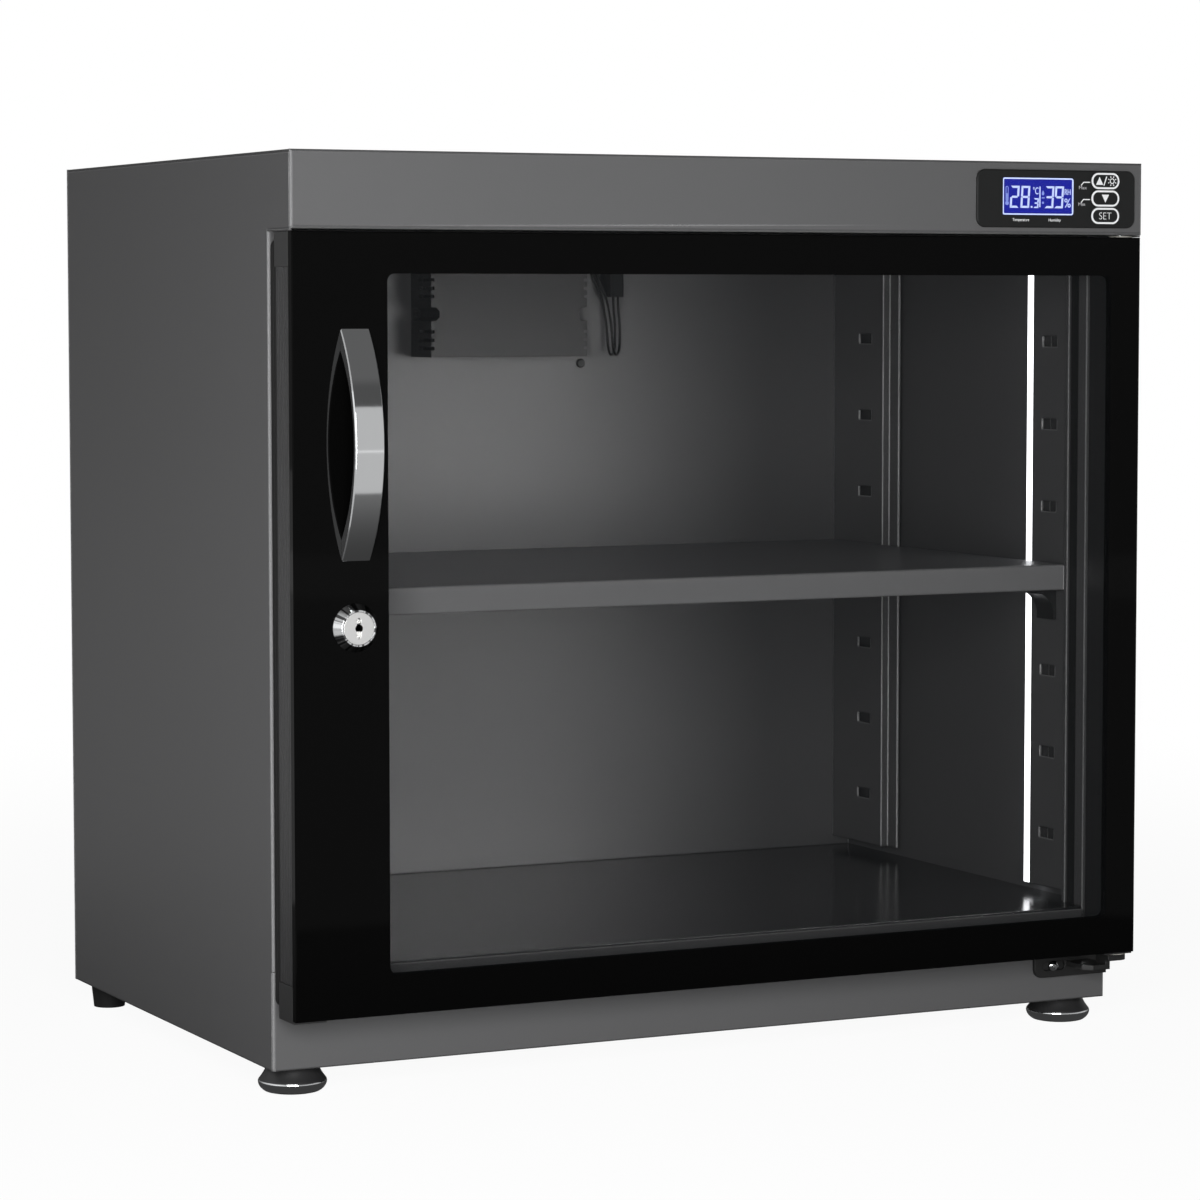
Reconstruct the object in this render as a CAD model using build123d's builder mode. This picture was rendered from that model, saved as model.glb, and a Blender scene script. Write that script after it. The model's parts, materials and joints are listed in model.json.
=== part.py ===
from build123d import *
from math import radians, tan
import os

# Bench-top desiccator cabinet: steel case, glass door, shelf, dehumidifier and display.
# Millimetres. X runs to the right seen from the front, Y to the back, Z up.
# The origin is on the bench, under the middle of the whole cabinet.

os.makedirs("parts", exist_ok=True)

# ---------------------------------------------------------------- driving dimensions
# Case
body_w = 430.4            # outside width
body_d = 268.6            # behind the front frame
body_h = 400.0            # case without its feet
sheet = 1.2               # outer steel sheet
liner = 1.0               # inner steel sheet
bend = 1.1                # outside bend radius
fit = 0.1                 # clearance between pieces that only meet
fascia_reach = 26.5       # fascia stands this far in front of the frame
fascia_h = 33.6
frame_side = 12.5         # front flange on each side of the opening
sill_h = 43.5             # front strip below the opening
sill_return = 14.0
lintel_h = 12.4           # front strip above the opening, under the fascia
lintel_rise = 8.0         # what the lintel laps behind the fascia's floor
return_d = 18.5           # frame flange folded back into the chamber
wall_gap = 21.6           # inner back wall to the case's back
ceiling_drop = 5.4        # ceiling panel below the fascia's floor
rear_flange = 12.0

# Slotted posts that carry the shelf
post_face_d = 31.2        # width of a front post's face behind the return
post_lap = 8.5            # front post laps the frame's return
rear_post_d = 51.6
rear_step_x = 5.2
rear_lip = 9.0            # lip of the rear post's front leg, turned forwards
post_foot_gap = 5.0       # posts stop this far above the floor
slot_w = 13.0
slot_h = 5.0
slot_count = 7
slot_pitch = 40.0
slot_first = 31.5         # first slot above the floor panel
front_slot_d = 34.8       # front slot rows behind the frame front
rear_slot_back = 33.2     # rear slot rows ahead of the back wall

# Light strip
strip_w = 6.0
strip_cap_t = 1.8
channel_wall = 0.8
channel_h = 7.6

# Shelf
shelf_slot = 3            # rests on the fourth slot row, counted from zero
shelf_side_gap = 1.9
shelf_front_d = 17.5
shelf_back_gap = 0.4
shelf_lip = 12.3
shelf_hem = 7.0
shelf_seat_gap = 0.1
clip_w = 15.4
clip_reach = 8.0
clip_h = 15.1
clip_nose = 2.6
hook_t = 2.7
hook_drop = 5.5
hook_w = 11.6

# Feet
foot_h = 12.4
foot_rim_r = 15.4
foot_rim_h = 3.8
foot_lip = 0.6
foot_base_r = 13.4
foot_neck_r = 10.6
foot_inset_y = 16.6
foot_side_gap = 0.2       # rim stays this far inside the case's side
stud_r = 4.0
stud_rise = 24.0
thread_play = 0.08
stud_hole_play = 0.5
nut_r = 8.5
nut_h = 7.0
rear_foot_r = 9.0
rear_foot_tip_r = 7.6
rear_foot_in = 13.2        # rear foot's axis from the case's side
rear_foot_inset = 13.0
rear_foot_screw_r = 2.0

# Door
door_side_gap = 0.5
door_top_gap = 1.1
door_low = 25.7           # door's lower edge above the case bottom
glass_t = 4.0
mask_t = 0.2
seal_gap = 6.5            # frame front to the back of the door profiles
window_left = 44.1        # glass edge to the clear window
window_right = 18.9
window_rim = 17.9         # top and bottom
window_r = 3.5
profile_wall = 1.5
profile_inset = 0.7
rib_pitch = 1.9
rib_cut_w = 0.6
rib_cut_d = 0.35
cap_size = 15.0
cap_lip = 1.0             # bottom corner caps reach below the glass
spigot_l = 10.0
spigot_play = 0.2
seal_inset = 2.7
seal_w = 6.0
seal_lip_w = 3.6
seal_base_t = 2.8
seal_play = 0.3

# Hinge
pivot_inset = 5.2         # from the door's right edge
pivot_d = 17.0            # in front of the frame
pin_r = 2.5
pin_play = 0.05
bush_r = 4.0
bush_flange_r = 5.4
bush_flange_t = 0.8
bush_depth = 10.0
pin_head_r = 4.2
pin_head_h = 2.0
bracket_w = 40.5
bracket_z = 11.9          # plate's lower edge above the case bottom
bracket_h = 15.6
bracket_t = 2.0
bracket_corner = 4.0
arm_t = 2.4
arm_root = 5.0            # lower leaf of the arm above the plate's lower edge
arm_leaf_w = 13.4
arm_reach = 20.0          # lower leaf in front of the frame
arm_chamfer = 4.0
arm_riser_in = 6.5        # step up to the tongue, left of the pivot
tongue_r = 5.4
tongue_drop = 2.1         # tongue top below the glass edge
hinge_slot_l = 12.9
hinge_slot_w = 4.4
hinge_screw_in = 29.8     # from the plate's right edge
hinge_screw_up = 5.4
hinge_screw2_in = 12.0
hinge_screw2_up = 12.0
hinge_screw_r = 1.7
hinge_head_r = 2.6
hinge_head_h = 1.3

# Handle
handle_w = 13.6
handle_len = 99.8
handle_rise = 16.5
handle_t = 2.4
handle_edge = 0.5
handle_root = 10.0
handle_in = 28.9          # handle centre from the door's left edge
handle_up = 28.7          # handle's lower end above the lock's axis
handle_screw_in = 6.5
handle_screw_r = 2.0
handle_head_r = 4.0
handle_head_h = 2.2
handle_thread = 3.0

# Lock
lock_in = 28.5            # lock axis from the door's left edge
lock_drop = 0.1           # lock's axis below the door's mid height
bezel_r = 10.6
bezel_tip_r = 7.9
bezel_h = 4.0
barrel_r = 9.0
plug_r = 7.1
plug_play = 0.05
key_slot_w = 2.0
key_slot_h = 9.0
key_slot_d = 6.0
lock_nut_r = 10.5
lock_nut_t = 3.0
cam_clear = 1.2           # cam behind the frame's flange
cam_t = 2.0
cam_w = 13.0
cam_len = 24.0
cam_square = 6.5
cam_screw_r = 1.5
cam_head_r = 3.6
cam_head_h = 1.8
cam_screw_l = 8.0

# Control panel
panel_w = 86.5
panel_h = 26.7
panel_corner = 4.5
panel_t = 1.2
panel_in = 47.95          # panel centre from the case's right side
panel_up = 16.45          # panel centre above the fascia's lower edge
box_w = 85.2
box_h = 24.6
box_wall = 1.2
box_depth = 11.0
lens_w = 38.6
lens_h = 17.1
lens_dx = -10.05
lens_dz = 1.1
lens_t = 1.0
lens_sink = 0.3
lcd_w = 44.0
lcd_h = 19.6
lcd_t = 7.4
button_w = 15.5
button_h = 7.6
button_pitch = 8.13
button_dx = 26.3
button_dz = 0.5
button_play = 0.2
button_proud = 0.7
button_t = 1.2
button_travel = 0.5
button_edge = 0.3
button_neck_h = 4.4
button_flange_t = 0.6
button_flange_lap = 1.0     # flange reaches past the cap at each end
board_y = 8.0             # board behind the fascia front
board_t = 1.6
board_play = 0.5
boss_r = 2.0
boss_x = 38.8
boss_z = 8.6
board_screw_r = 0.9
board_head_r = 1.9
board_head_h = 1.2
switch_w = 6.0
switch_h = 4.4
switch_t = 3.4
plunger_r = 1.6
plunger_l = 1.0

# Dehumidifier
unit_w = 86.7
unit_d = 25.2
unit_h = 43.0
unit_x = 1.95             # centre, off the cabinet's middle
unit_drop = 10.3          # top of the cover below the ceiling panel
unit_wall = 1.8
vent_count = 3
vent_pitch = 4.2
vent_w = 1.6
vent_l = 15.0
vent_from_mid = 8.8
notch_w = 6.6
notch_d = 4.6
notch_chamfer = 1.8
ear_t = 2.0
unit_screw_r = 1.4
unit_head_r = 2.4
unit_head_h = 1.6
unit_base_t = 2.0
pack_w = 66.0
pack_h = 30.0
pack_t = 12.0
heater_t = 3.0
duct_w = 56.0
duct_h = 34.0
duct_wall = 1.6
sensor_x = 53.6
sensor_below = 3.9        # below the dehumidifier
sensor_r = 1.8
sensor_h = 1.2

# Heater lead, two thin wires that hang in a loop
lead_d = 1.5
lead_offset = (1.6, 2.2)  # second wire: this far to the right and to the front
plug_w = 7.5
plug_d = 12.4
plug_h = 12.2
plug_cut_d = 6.6
plug_cut_h = 5.5
plug_from_unit = 19.6     # plug's left side from the dehumidifier's right side
plug_tail_h = 30.1        # plug's lower end above the dehumidifier's lower edge
socket_rim = 0.4

# Rear
cover_screw_r = 1.45
cover_head_r = 3.2
cover_head_h = 1.8
cover_screw_l = 6.0
cover_screw_rows = 3
louvre_gap = 2.4          # slots where the dehumidifier's duct ends
louvre_pitch = 5.0
louvre_rows = 6
grille_gap = 3.0          # slots behind the display
grille_h = 16.0
grille_pitch = 9.0
grille_count = 12
inlet_in = 45.2           # inlet's axis from the case's left side
inlet_r = 5.5
inlet_flange_r = 7.2
inlet_flange_t = 1.5
inlet_bore_r = 3.2
inlet_bore_l = 9.0
inlet_pin_r = 1.0
inlet_l = 12.0

# ---------------------------------------------------------------- reference planes
half_w = body_w / 2
half_open = half_w - frame_side
inner_half = half_w - sheet - fit
y_front = -(body_d + cover_head_h - fascia_reach - handle_rise) / 2
y_back = y_front + body_d
y_fascia = y_front - fascia_reach
y_wall = y_back - wall_gap
y_rear_slot = y_wall - rear_slot_back
z_base = foot_h
rear_foot_x = half_w - rear_foot_in
z_top = z_base + body_h
z_step = z_top - fascia_h
z_sill = z_base + sill_h
z_floor = z_sill + liner
z_lintel = z_step - lintel_h
z_ceiling = z_step - ceiling_drop

post_x = half_open + sheet                 # face plane of the posts
y_post_back = y_front + return_d + post_face_d
slot_z = [z_floor + slot_first + slot_pitch * row for row in range(slot_count)]

door_half = half_w - door_side_gap
z_door_top = z_step - door_top_gap
z_door = z_base + door_low
door_h = z_door_top - z_door
y_glass = y_fascia + glass_t               # back face of the glass
y_profile = y_glass + mask_t
y_door_back = y_front - seal_gap
pivot_x = door_half - pivot_inset
pivot_y = y_front - pivot_d
z_tongue = z_door - tongue_drop            # top of the lower hinge tongue

lock_x = -door_half + lock_in
lock_z = (z_door + z_door_top) / 2 - lock_drop
y_cam = y_front + sheet + cam_clear
handle_x = -door_half + handle_in
z_handle = lock_z + handle_up

inlet_x = -half_w + inlet_in
panel_x = half_w - panel_in
panel_z = z_step + panel_up
lens_x = panel_x + lens_dx
lens_z = panel_z + lens_dz
button_x = panel_x + button_dx
button_z = [panel_z + button_dz + button_pitch * row for row in (1, 0, -1)]

y_unit = y_wall - unit_d
z_unit = z_ceiling - unit_drop - unit_h
z_unit_mid = z_unit + unit_h / 2
z_plug = z_unit + plug_tail_h

cover_screw_x = half_w - rear_flange / 2
cover_screw_z = [z_base + body_h * (2 * row + 1) / (2 * cover_screw_rows) for row in range(cover_screw_rows)]
front_foot_x = half_w - foot_rim_r - foot_side_gap
y_front_foot = y_front + foot_inset_y
y_rear_foot = y_back - rear_foot_inset


def at_height(z):
    """Plan plane at a height: sketch x is X, sketch y is Y."""
    return Plane.XY.offset(z)


def facing_front(y):
    """Upright plane across the cabinet: sketch x is X, sketch y is Z; extrudes towards the front."""
    return Plane.XZ.offset(-y)


def facing_side(x):
    """Upright plane along the cabinet: sketch x is Y, sketch y is Z; extrudes to the right."""
    return Plane.YZ.offset(x)


def span(a_low, a_high, b_low, b_high, mode=Mode.ADD):
    """Rectangle between two corners, in the sketch that is open."""
    with Locations(((a_low + a_high) / 2, (b_low + b_high) / 2)):
        Rectangle(abs(a_high - a_low), abs(b_high - b_low), mode=mode)


def save(piece, node):
    piece.part.label = node
    export_step(piece.part, f"parts/{node}.step")


# ---------------------------------------------------------------- outer case
for side, hand in ((-1, "left"), (1, "right")):
    with BuildPart() as side_panel:
        with BuildSketch(facing_side(side * half_w)):
            with BuildLine():
                Polyline(
                    (y_front + sheet, z_base),
                    (y_front + sheet, z_sill),
                    (y_front, z_sill),
                    (y_front, z_step),
                    (y_fascia + sheet, z_step),
                    (y_fascia + sheet, z_top - sheet),
                    (y_back - sheet, z_top - sheet),
                    (y_back - sheet, z_base),
                    close=True,
                )
            make_face()
        extrude(amount=-side * sheet)
        with BuildSketch(at_height(z_sill)):        # front flange
            span(side * half_open, side * half_w, y_front, y_front + sheet)
        extrude(amount=z_step - z_sill)
        with BuildSketch(at_height(z_floor)):       # flange folded back into the chamber
            span(side * half_open, side * post_x, y_front, y_front + return_d)
        extrude(amount=z_ceiling - z_floor)
        with BuildSketch(at_height(z_base + sheet + fit)):
            span(side * (half_w - rear_flange), side * half_w, y_back - 2 * sheet, y_back - sheet)
        extrude(amount=body_h - 2 * sheet - 2 * fit)
        mid_z = (z_sill + z_step) / 2
        upright = side_panel.edges().filter_by(Axis.Z)
        fillet(upright.sort_by_distance((side * half_w, y_front, mid_z))[0], bend)
        upright = side_panel.edges().filter_by(Axis.Z)
        fillet(upright.sort_by_distance((side * half_open, y_front, mid_z))[0], bend)
        with BuildSketch(facing_front(y_back - sheet)):
            with Locations(*[(side * cover_screw_x, z) for z in cover_screw_z]):
                Circle(cover_screw_r)
        extrude(amount=sheet, mode=Mode.SUBTRACT)
        if side == -1:                              # slot that the lock's cam turns into
            with BuildSketch(facing_side(-post_x)):
                span(y_cam - cam_clear / 2, y_cam + cam_t + cam_clear / 2,
                     lock_z - cam_len + cam_clear, lock_z + cam_w / 2 + cam_clear)
            extrude(amount=sheet, mode=Mode.SUBTRACT)
    save(side_panel, f"side_panel_{hand}")

bracket_right = half_w - fit
bracket_left = bracket_right - bracket_w
hinge_screws_at = [
    (bracket_right - hinge_screw_in, z_base + bracket_z + hinge_screw_up),
    (bracket_right - hinge_screw2_in, z_base + bracket_z + hinge_screw2_up),
]

with BuildPart() as sill_panel:
    with BuildSketch(facing_front(y_front)):
        span(-half_w, half_w, z_base, z_sill)
    extrude(amount=-sheet)
    with BuildSketch(at_height(z_sill - sheet)):
        span(-inner_half, inner_half, y_front, y_front + sill_return)
    extrude(amount=sheet)
    corners = sill_panel.edges().filter_by(Axis.Z).group_by(Axis.Y)[0]
    fillet(corners, bend)
    with BuildSketch(facing_front(y_front)):
        with Locations(*hinge_screws_at):
            Circle(hinge_screw_r)
    extrude(amount=-sheet, mode=Mode.SUBTRACT)
save(sill_panel, "sill_panel")

with BuildPart() as base_plate:
    with BuildSketch(at_height(z_base)):
        span(-inner_half, inner_half, y_front + sheet + fit, y_back - sheet - fit)
        with Locations((-front_foot_x, y_front_foot), (front_foot_x, y_front_foot)):
            Circle(stud_r + stud_hole_play, mode=Mode.SUBTRACT)
        with Locations((-rear_foot_x, y_rear_foot), (rear_foot_x, y_rear_foot)):
            Circle(rear_foot_screw_r, mode=Mode.SUBTRACT)
    extrude(amount=sheet)
save(base_plate, "base_plate")

with BuildPart() as top_cover:
    with BuildSketch(at_height(z_top - sheet)):
        span(-half_w, half_w, y_fascia + sheet, y_back - sheet)
    extrude(amount=sheet)
    ridges = top_cover.edges().filter_by(Axis.Y).group_by(Axis.Z)[-1]
    fillet(ridges, bend)
save(top_cover, "top_cover")

with BuildPart() as fascia_panel:
    with BuildSketch(facing_front(y_fascia)):
        span(-half_w, half_w, z_step, z_top)
    extrude(amount=-sheet)
    with BuildSketch(at_height(z_step)):            # fascia floor, over the door
        span(-inner_half, inner_half, y_fascia, y_front)
    extrude(amount=sheet)
    rim = fascia_panel.faces().sort_by(Axis.Y)[0].edges()
    fillet(rim, bend)
    with BuildSketch(facing_front(y_fascia)):       # cut-out for the control panel
        with Locations((panel_x, panel_z)):
            RectangleRounded(box_w + 2 * fit, box_h + 2 * fit, panel_corner / 2)
    extrude(amount=-sheet, mode=Mode.SUBTRACT)
    with BuildSketch(at_height(z_step)):
        with Locations((pivot_x, pivot_y)):
            Circle(pin_r + pin_play)
    extrude(amount=sheet, mode=Mode.SUBTRACT)
save(fascia_panel, "fascia_panel")

with BuildPart() as lintel:
    with BuildSketch(facing_front(y_front)):
        span(-half_open, half_open, z_lintel, z_step + lintel_rise)
    extrude(amount=-sheet)
    with BuildSketch(at_height(z_lintel)):
        span(-half_open, half_open, y_front, y_front + return_d)
    extrude(amount=sheet)
    fold = lintel.edges().filter_by(Axis.X).sort_by_distance((0, y_front, z_lintel))[0]
    fillet(fold, bend)
save(lintel, "lintel")

# ---------------------------------------------------------------- inner chamber
with BuildPart() as floor_pan:
    with BuildSketch(at_height(z_sill)):
        span(-inner_half, inner_half, y_front + sheet + fit, y_wall + liner)
    extrude(amount=liner)
save(floor_pan, "floor_pan")

with BuildPart() as ceiling_panel:
    with BuildSketch(at_height(z_ceiling)):
        span(-inner_half, inner_half, y_front + sheet + fit, y_wall + liner)
    extrude(amount=liner)
save(ceiling_panel, "ceiling_panel")

unit_screws_at = [
    (unit_x + side * (unit_w / 2 - notch_d / 2), z_unit_mid) for side in (-1, 1)
]
with BuildPart() as back_wall:
    with BuildSketch(facing_front(y_wall)):
        span(-inner_half, inner_half, z_floor, z_ceiling)
        with Locations((unit_x, z_unit_mid)):
            RectangleRounded(duct_w - 2 * duct_wall, duct_h - 2 * duct_wall, window_r, mode=Mode.SUBTRACT)
        with Locations((sensor_x, z_unit - sensor_below)):
            Circle(sensor_r, mode=Mode.SUBTRACT)
        with Locations(*unit_screws_at):
            Circle(unit_screw_r, mode=Mode.SUBTRACT)
    extrude(amount=-liner)
save(back_wall, "back_wall")

with BuildPart() as rear_cover:
    with BuildSketch(facing_front(y_back)):
        span(-half_w, half_w, z_base, z_top)
        with Locations((unit_x, z_unit_mid)):
            with GridLocations(1, louvre_pitch, 1, louvre_rows):
                Rectangle(duct_w - 4 * duct_wall, louvre_gap, mode=Mode.SUBTRACT)
        with Locations((0, z_step + fascia_h / 2)):
            with GridLocations(grille_pitch, 1, grille_count, 1):
                Rectangle(grille_gap, grille_h, mode=Mode.SUBTRACT)
        with Locations((inlet_x, z_step + fascia_h / 2)):
            Circle(inlet_r + fit, mode=Mode.SUBTRACT)
        with Locations(*[(side * cover_screw_x, z) for side in (-1, 1) for z in cover_screw_z]):
            Circle(cover_screw_r, mode=Mode.SUBTRACT)
    extrude(amount=sheet)
save(rear_cover, "rear_cover")

with BuildPart() as rear_cover_screws:
    places = [(side * cover_screw_x, z) for side in (-1, 1) for z in cover_screw_z]
    with BuildSketch(facing_front(y_back)):
        with Locations(*places):
            Circle(cover_head_r)
    extrude(amount=-cover_head_h)
    heads = rear_cover_screws.faces().group_by(Axis.Y)[-1]
    chamfer(heads.edges(), cover_head_h / 2)
    with BuildSketch(facing_front(y_back)):
        with Locations(*places):
            Circle(cover_screw_r - fit / 2)
    extrude(amount=cover_screw_l)
save(rear_cover_screws, "rear_cover_screws")

# Front posts: a slotted face behind the frame's return, folded out to the side wall
with BuildPart() as front_posts:
    for side in (-1, 1):
        with BuildSketch(at_height(z_floor + post_foot_gap)):
            span(side * post_x, side * (post_x + liner), y_front + return_d - post_lap, y_post_back)
            span(side * post_x, side * inner_half, y_post_back - liner, y_post_back)
        extrude(amount=z_ceiling - z_floor - post_foot_gap)
        with BuildSketch(facing_side(side * post_x)):
            with Locations(*[(y_front + front_slot_d, z) for z in slot_z]):
                Rectangle(slot_w, slot_h)
        extrude(amount=side * liner, mode=Mode.SUBTRACT)
save(front_posts, "front_posts")

# Rear posts: the same face, with a lipped leg at the front and a leg on the back wall
y_rear_post = y_wall - rear_post_d
with BuildPart() as rear_posts:
    for side in (-1, 1):
        step_x = post_x + rear_step_x
        with BuildSketch(at_height(z_floor + post_foot_gap)):
            span(side * post_x, side * (post_x + liner), y_rear_post, y_wall - fit)
            span(side * post_x, side * step_x, y_rear_post, y_rear_post + liner)
            span(side * (step_x - liner), side * step_x, y_rear_post - rear_lip, y_rear_post + liner)
            span(side * post_x, side * inner_half, y_wall - fit - liner, y_wall - fit)
        extrude(amount=z_ceiling - z_floor - post_foot_gap)
        with BuildSketch(facing_side(side * post_x)):
            with Locations(*[(y_rear_slot, z) for z in slot_z]):
                Rectangle(slot_w, slot_h)
        extrude(amount=side * liner, mode=Mode.SUBTRACT)
save(rear_posts, "rear_posts")

# Light strip: an aluminium channel on the right side wall, under a milky cap
y_strip = y_post_back + fit
with BuildPart() as led_channel:
    with BuildSketch(at_height(z_floor + post_foot_gap)):
        span(inner_half - channel_h, inner_half, y_strip, y_strip + strip_w)
        span(inner_half - channel_h, inner_half - channel_wall,
             y_strip + channel_wall, y_strip + strip_w - channel_wall, mode=Mode.SUBTRACT)
    extrude(amount=z_ceiling - z_floor - post_foot_gap)
save(led_channel, "led_channel")

with BuildPart() as led_diffuser:
    x_cap = inner_half - channel_h
    with BuildSketch(at_height(z_floor + post_foot_gap)):
        span(x_cap - strip_cap_t, x_cap, y_strip, y_strip + strip_w)
        span(x_cap, x_cap + 2 * channel_wall,
             y_strip + channel_wall + fit, y_strip + strip_w - channel_wall - fit)
    extrude(amount=z_ceiling - z_floor - post_foot_gap)
save(led_diffuser, "led_diffuser")

# ---------------------------------------------------------------- shelf and its clips
shelf_half = post_x - shelf_side_gap
z_clip = slot_z[shelf_slot] - slot_h / 2 + hook_t + 2 * fit
z_shelf = z_clip + shelf_seat_gap
y_shelf = y_front + shelf_front_d
y_shelf_back = y_wall - shelf_back_gap

with BuildPart() as shelf:
    with BuildSketch(at_height(z_shelf)):
        span(-shelf_half, shelf_half, y_shelf, y_shelf_back)
    extrude(amount=shelf_lip)
    crown = shelf.faces().sort_by(Axis.Z)[-1].edges().sort_by(Axis.Y)[0]
    fillet(crown, bend)
    with BuildSketch(at_height(z_shelf)):
        span(-shelf_half + liner, shelf_half - liner, y_shelf + liner, y_shelf_back - liner)
    extrude(amount=shelf_lip - liner, mode=Mode.SUBTRACT)
    with BuildSketch(at_height(z_shelf)):
        span(-shelf_half + liner, shelf_half - liner, y_shelf, y_shelf + shelf_hem)
    extrude(amount=liner)
save(shelf, "shelf")

with BuildPart() as shelf_clips:
    for side in (-1, 1):
        for y_slot in (y_front + front_slot_d, y_rear_slot):
            wall_x = side * (post_x - fit)
            nose_x = side * (post_x - clip_reach)
            with BuildSketch(facing_front(y_slot + clip_w / 2)):
                with BuildLine():
                    Line((wall_x, z_clip - clip_h), (wall_x, z_clip))
                    Line((wall_x, z_clip), (nose_x, z_clip))
                    Line((nose_x, z_clip), (nose_x, z_clip - clip_nose))
                    ThreePointArc(
                        (nose_x, z_clip - clip_nose),
                        (side * (post_x - clip_reach * 0.42), z_clip - clip_h * 0.45),
                        (side * (post_x - clip_reach * 0.2), z_clip - clip_h),
                    )
                    Line((side * (post_x - clip_reach * 0.2), z_clip - clip_h), (wall_x, z_clip - clip_h))
                make_face()
            extrude(amount=clip_w)
            with BuildSketch(facing_front(y_slot + hook_w / 2)):
                span(wall_x, side * (post_x + liner + 2 * fit), z_clip - hook_t, z_clip)
                span(side * (post_x + liner + fit), side * (post_x + liner + 1.6),
                     z_clip - hook_drop, z_clip)
            extrude(amount=hook_w)
save(shelf_clips, "shelf_clips")

# ---------------------------------------------------------------- feet
for side, hand in ((-1, "left"), (1, "right")):
    with BuildPart() as levelling_foot:
        with BuildSketch(Plane.XZ.offset(-y_front_foot)):
            with BuildLine():
                Polyline(
                    (0, 0),
                    (foot_base_r, 0),
                    (foot_rim_r - foot_lip, foot_rim_h / 3),
                    (foot_rim_r, foot_rim_h),
                    (foot_rim_r - foot_lip, foot_rim_h + foot_lip),
                    (foot_neck_r, foot_h - 2 * fit),
                    (stud_r, foot_h - 2 * fit),
                    (stud_r, foot_h + stud_rise),
                    (0, foot_h + stud_rise),
                    close=True,
                )
            make_face()
        revolve(axis=Axis((0, y_front_foot, 0), (0, 0, 1)))
    foot = levelling_foot.part.moved(Location((side * front_foot_x, 0, 0)))
    foot.label = f"levelling_foot_{hand}"
    export_step(foot, f"parts/levelling_foot_{hand}.step")

with BuildPart() as foot_nuts:
    with BuildSketch(at_height(z_base + sheet)):
        with Locations((-front_foot_x, y_front_foot), (front_foot_x, y_front_foot)):
            RegularPolygon(nut_r, 6)
            Circle(stud_r + thread_play, mode=Mode.SUBTRACT)
    extrude(amount=nut_h)
save(foot_nuts, "foot_nuts")

with BuildPart() as rear_feet:
    for side in (-1, 1):
        with BuildSketch(at_height(0)):
            with Locations((side * rear_foot_x, y_rear_foot)):
                Circle(rear_foot_tip_r)
        with BuildSketch(at_height(foot_h)):
            with Locations((side * rear_foot_x, y_rear_foot)):
                Circle(rear_foot_r)
        loft()
        with BuildSketch(at_height(0)):
            with Locations((side * rear_foot_x, y_rear_foot)):
                Circle(2.2 * rear_foot_screw_r)
        extrude(amount=foot_h / 2, mode=Mode.SUBTRACT)
        with BuildSketch(at_height(foot_h / 2)):
            with Locations((side * rear_foot_x, y_rear_foot)):
                Circle(rear_foot_screw_r)
        extrude(amount=foot_h / 2, mode=Mode.SUBTRACT)
save(rear_feet, "rear_feet")

with BuildPart() as rear_foot_screws:
    spots = [(side * rear_foot_x, y_rear_foot) for side in (-1, 1)]
    with BuildSketch(at_height(foot_h / 2)):
        with Locations(*spots):
            Circle(2 * rear_foot_screw_r)
    extrude(amount=-rear_foot_screw_r)
    with BuildSketch(at_height(foot_h / 2)):
        with Locations(*spots):
            Circle(rear_foot_screw_r - fit / 2)
    extrude(amount=foot_h / 2 + 3 * sheet)
save(rear_foot_screws, "rear_foot_screws")

# ---------------------------------------------------------------- door
z_cap_bottom = z_door - cap_lip
with BuildPart() as door_glass:
    with BuildSketch(facing_front(y_fascia)):
        span(-door_half, door_half, z_door, z_door_top)
        with Locations((lock_x, lock_z)):
            Circle(barrel_r + fit, mode=Mode.SUBTRACT)
        with Locations(
            (handle_x, z_handle + handle_screw_in),
            (handle_x, z_handle + handle_len - handle_screw_in),
        ):
            Circle(handle_screw_r + fit, mode=Mode.SUBTRACT)
    extrude(amount=-glass_t)
    chamfer(door_glass.faces().sort_by(Axis.Y)[0].outer_wire().edges(), 0.5)
save(door_glass, "door_glass")

with BuildPart() as glass_mask:
    with BuildSketch(facing_front(y_glass)):
        span(-door_half + fit, door_half - fit, z_door + fit, z_door_top - fit)
        window_x = (window_left - window_right) / 2
        window_w = 2 * door_half - window_left - window_right
        with Locations((window_x, (z_door + z_door_top) / 2)):
            RectangleRounded(window_w, door_h - 2 * window_rim, window_r, mode=Mode.SUBTRACT)
        with Locations((lock_x, lock_z)):
            Circle(barrel_r + fit, mode=Mode.SUBTRACT)
        with Locations(
            (handle_x, z_handle + handle_screw_in),
            (handle_x, z_handle + handle_len - handle_screw_in),
        ):
            Circle(handle_screw_r + fit, mode=Mode.SUBTRACT)
    extrude(amount=-mask_t)
save(glass_mask, "glass_mask")

profile_d = y_door_back - y_profile
profile_w = cap_size - profile_inset
rib_at = [y_profile + rib_pitch * (n + 0.7) for n in range(int(profile_d / rib_pitch))]
outer_x = door_half - profile_inset

with BuildPart() as door_stiles:
    for side in (-1, 1):
        with BuildSketch(at_height(z_door + cap_size)):
            span(side * outer_x, side * (outer_x - profile_w), y_profile, y_door_back)
            span(side * (outer_x - profile_wall), side * (outer_x - profile_w + profile_wall),
                 y_profile + profile_wall, y_door_back - profile_wall, mode=Mode.SUBTRACT)
            for y in rib_at:
                span(side * outer_x, side * (outer_x - rib_cut_d),
                     y - rib_cut_w / 2, y + rib_cut_w / 2, mode=Mode.SUBTRACT)
        extrude(amount=door_h - 2 * cap_size)
save(door_stiles, "door_stiles")

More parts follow.
